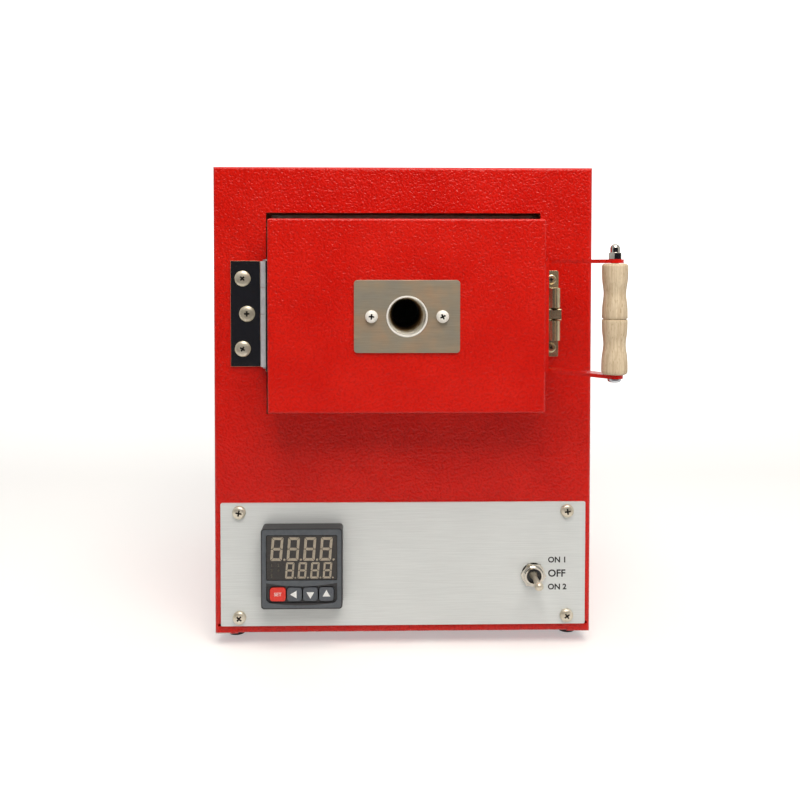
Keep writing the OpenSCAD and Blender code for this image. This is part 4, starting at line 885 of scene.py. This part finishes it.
def makeFramePlate():
    x, z, half = control["x"], control["z"], control["windowW"] / 2
    outer = roundedOutline(x, z, control["rim"], control["rim"], control["corner"])
    top, foot = control["windowTop"], control["windowFoot"]
    window = roundedOutline(x, (top + foot) / 2, control["windowW"], top - foot,
                            control["windowCorner"])
    keys = []
    sag, belly = control["keysTop"] - control["keysMid"], control["keysFoot"] - control["keysLow"]
    for i in range(2 * control["upperSteps"] + 1):  # the upper edge sags to the middle
        u = i / control["upperSteps"] - 1
        keys.append((x + u * half, control["keysMid"] + sag * u * u))
    for i in range(2 * control["lowerSteps"] + 1):  # the lower edge bellies out, with round corners
        u = 1 - i / control["lowerSteps"]
        corner = control["corner"] * max(0, (abs(u) - 0.9) / 0.1) ** 2
        keys.append((x + u * half, control["keysLow"] + belly * u * u + corner))
    front = control["frontY"] - control["plateThick"] + control["sunk"]
    piece = flatShape("controller_frame", [outer, window[::-1], keys], front, control["plateThick"])
    hand(piece, "casing", frameLacquer)


readout = {"large": {"x": -78.9, "z": 56.4, "w": 6.9, "h": 13.9, "bar": 1.55, "pitch": 9.66},
           "small": {"x": -70.2, "z": 45.8, "w": 5.0, "h": 9.7, "bar": 1.15, "pitch": 7.4},
           "lean": 4.5, "thick": 0.06, "digits": 4, "gapShare": 0.14, "pointShare": 0.42,
           "lampHigh": 1.7, "lamps": (("1", -78.6, 53.7), ("2", -74.6, 53.7), ("3", -78.6, 50.5),
                                      ("4", -74.6, 50.5), ("5", -78.6, 47.3))}


def digitOutlines(x, z, w, h, bar, lean):  # x, z at the lower left; seven bars and a point
    gap = bar * readout["gapShare"]
    mid, tip, dot = h / 2, bar * 0.55 + gap, bar * readout["pointShare"]
    bars = []
    for level, side in ((0, 1), (h, -1)):
        inner = level + side * bar
        bars.append([(gap * 1.6, level), (w - gap * 1.6, level), (w - bar - gap * 0.4, inner),
                     (bar + gap * 0.4, inner)])
    bars.append([(tip, mid), (bar + gap, mid + bar / 2), (w - bar - gap, mid + bar / 2),
                 (w - bar * 0.55 - gap, mid), (w - bar - gap, mid - bar / 2),
                 (bar + gap, mid - bar / 2)])
    for foot, head in ((0, mid), (mid, h)):
        low = [(0, foot + gap * 1.6), (bar, foot + bar + gap * 0.6)] if foot == 0 else \
              [(0, foot + gap * 1.4), (bar * 0.5, foot + gap), (bar, foot + bar / 2 + gap)]
        top = [(bar, head - bar - gap * 0.6), (0, head - gap * 1.6)] if head == h else \
              [(bar, head - bar / 2 - gap), (bar * 0.5, head - gap), (0, head - gap * 1.4)]
        column = low + top
        bars.append(column)
        bars.append([(w - px, pz) for px, pz in reversed(column)])
    point = [(w + bar * 0.95 + dot * math.cos(math.radians(a)),
              dot + dot * math.sin(math.radians(a))) for a in range(0, 360, 30)]
    return [[(x + px + pz * math.tan(math.radians(lean)), z + pz) for px, pz in shape]
            for shape in bars + [point]]


def makeDigits():
    outlines = []
    for row in (readout["large"], readout["small"]):
        for i in range(readout["digits"]):
            outlines += digitOutlines(row["x"] + i * row["pitch"], row["z"], row["w"], row["h"],
                                      row["bar"], readout["lean"])
    front = control["glassY"] - readout["thick"]
    piece = flatShape("readout_bars", outlines, front, readout["thick"])
    hand(piece, "casing", unlitSegment)
    small = [flatWord("lamp_number", text, readout["lampHigh"], x, z, front, readout["thick"])
             for text, x, z in readout["lamps"]]
    hand(joinAll(small, "lamp_numbers"), "casing", dimPrint)


keyMarks = {"frontY": -136.74, "thick": 0.06, "z": 36.3, "word": 2.0, "size": 2.5, "swell": 1.05,
            "x": (-74.45, -64.65, -55.25, -45.75)}


def makeKeyMarks():
    size, z = keyMarks["size"], keyMarks["z"]
    word = flatWord("mark", "SET", keyMarks["word"], keyMarks["x"][0], z, keyMarks["frontY"],
                    keyMarks["thick"], "CENTER")
    hand(joinAll([word], "key_mark_set"), "key_mode", whiteInk)
    for name, body, x, turned in (("key_mark_left", "key_left", keyMarks["x"][1], 180),
                                  ("key_mark_down", "key_down", keyMarks["x"][2], 270),
                                  ("key_mark_up", "key_up", keyMarks["x"][3], 90)):
        corners = [(x + size * math.cos(math.radians(turned + a)) * keyMarks["swell"],
                    z + size * math.sin(math.radians(turned + a)) * keyMarks["swell"])
                   for a in (0, 120, 240)]
        hand(flatShape(name, [corners], keyMarks["frontY"], keyMarks["thick"]), body, whiteInk)


for nodeName in ("key_mode", "key_left", "key_down", "key_up"):
    dressCopy(nodeName, finishes[slotOf[nodeName]], control["keyEdge"])
makeFramePlate()
makeDigits()
makeKeyMarks()
print("controller is in")


# Lengths in metres. A lamp has its place, size, power in watts and aim. The paper glows
# more and more from glowFrom to glowTo, behind the kiln
studio = {"lamps": (((0.12, -0.8, 1.2), 0.9, 17.5, (0, -0.1, 0.2)),
                    ((1.6, -1.2, 0.9), 1.4, 2, (0, 0, 0.12)),
                    ((0, 0.3, 2.0), 1.8, 8, (0, 0, 0.1))),
          "warm": "#fff8f0", "world": 0.22, "gloss": 0.6, "floorHalf": 4, "wallHigh": 5,
          "cove": 1.5, "paper": ("#d6d6d4", "#d2d2cf"), "glow": 0.4, "glowFrom": 0.3, "glowTo": 1.6,
          "darkFrom": 0.43, "darkWide": 5, "darkLean": 0.3, "darkHigh": 1.3,
          "dark": ("#0a0d1c", "#0d1226")}


def makeFloor():
    deselectAll()
    bpy.ops.mesh.primitive_plane_add(size=2 * studio["floorHalf"], location=(0, 0, 0))
    floor = bpy.context.object
    floor.name = "studio_floor"
    back = studio["floorHalf"] / mm - 100
    pickEdges(floor, lambda a, b: a.y > back and b.y > back)
    bpy.ops.mesh.extrude_region_move(TRANSFORM_OT_translate={"value": (0, 0, studio["wallHigh"])})
    bpy.ops.object.mode_set(mode="OBJECT")
    pickEdges(floor, lambda a, b: a.y > back and b.y > back and abs(a.z) + abs(b.z) < 1)
    bpy.ops.mesh.bevel(offset=studio["cove"], segments=12, affect="EDGES")
    bpy.ops.object.mode_set(mode="OBJECT")
    shadeRound(floor, 60)
    paper, tree, shader, place = startFinish("studioPaper", 0, 0.8, Emission_Color="#ffffff")
    away = addNode(tree, "SeparateXYZ", out="Y", Vector=place)
    glow = addNode(tree, "MapRange", Value=away, From_Min=studio["glowFrom"],
                   From_Max=studio["glowTo"], To_Min=studio["glow"], To_Max=1.0)
    cloud = addNode(tree, "TexNoise", Vector=place, Scale=per(400), Detail=2.0)
    pale, grey = studio["paper"]
    tint = addNode(tree, "ValToRGB", {"stops": ((0.3, pale), (0.7, grey))}, Fac=cloud)
    bounced = addNode(tree, "LightPath", out="Is Diffuse Ray")
    white = addNode(tree, "MapRange", Value=bounced, To_Min=glow, To_Max=0.0)
    connect(tree, shader, {"Base Color": tint, "Emission Strength": white})
    giveFinish(floor, paper)


# The dark end of the room, where the camera stands: only mirrors and gloss see it
def makeDarkRoom():
    deselectAll()
    bpy.ops.mesh.primitive_plane_add(size=1, location=(0, 0, 0))
    room = bpy.context.object
    room.name = "dark_room"
    room.scale = (studio["darkWide"], 1, 1)
    room.location = (0, -(studio["darkFrom"] + 0.5), 0.002)  # half of its depth, just off the floor
    settle(room)
    pickEdges(room, lambda a, b: a.y < -1000 and b.y < -1000)
    rise = (0, -studio["darkLean"], studio["darkHigh"])
    bpy.ops.mesh.extrude_region_move(TRANSFORM_OT_translate={"value": rise})
    bpy.ops.object.mode_set(mode="OBJECT")
    cloth, tree, shader, place = startFinish("darkRoom", 0, 1.0)
    folds = addNode(tree, "TexNoise", Vector=place, Scale=per(300), Detail=2.0)
    deep, soft = studio["dark"]
    tint = addNode(tree, "ValToRGB", {"stops": ((0.3, deep), (0.7, soft))}, Fac=folds)
    connect(tree, shader, {"Base Color": tint})
    giveFinish(room, cloth)
    room.visible_camera = False
    room.visible_diffuse = False
    room.visible_shadow = False


def makeLights():
    for place, size, power, aim in studio["lamps"]:
        bpy.ops.object.light_add(type="AREA", location=place)
        lamp = bpy.context.object
        lamp.data.energy = power
        lamp.data.color = tone(studio["warm"])[:3]
        lamp.data.size = size
        lamp.rotation_euler = (Vector(aim) - Vector(place)).to_track_quat("-Z", "Y").to_euler()
    world = bpy.context.scene.world or bpy.data.worlds.new("studio")
    bpy.context.scene.world = world
    world.use_nodes = True
    tree = world.node_tree
    isCamera = addNode(tree, "LightPath", out="Is Camera Ray")
    isGloss = addNode(tree, "LightPath", out="Is Glossy Ray")
    gloss = addNode(tree, "MapRange", Value=isGloss, To_Min=studio["world"], To_Max=studio["gloss"])
    strength = addNode(tree, "MapRange", Value=isCamera, To_Min=gloss, To_Max=1.0)
    connect(tree, tree.nodes["Background"], {"Color": "#ffffff", "Strength": strength})


makeFloor()
makeDarkRoom()
makeLights()
print("studio is lit")
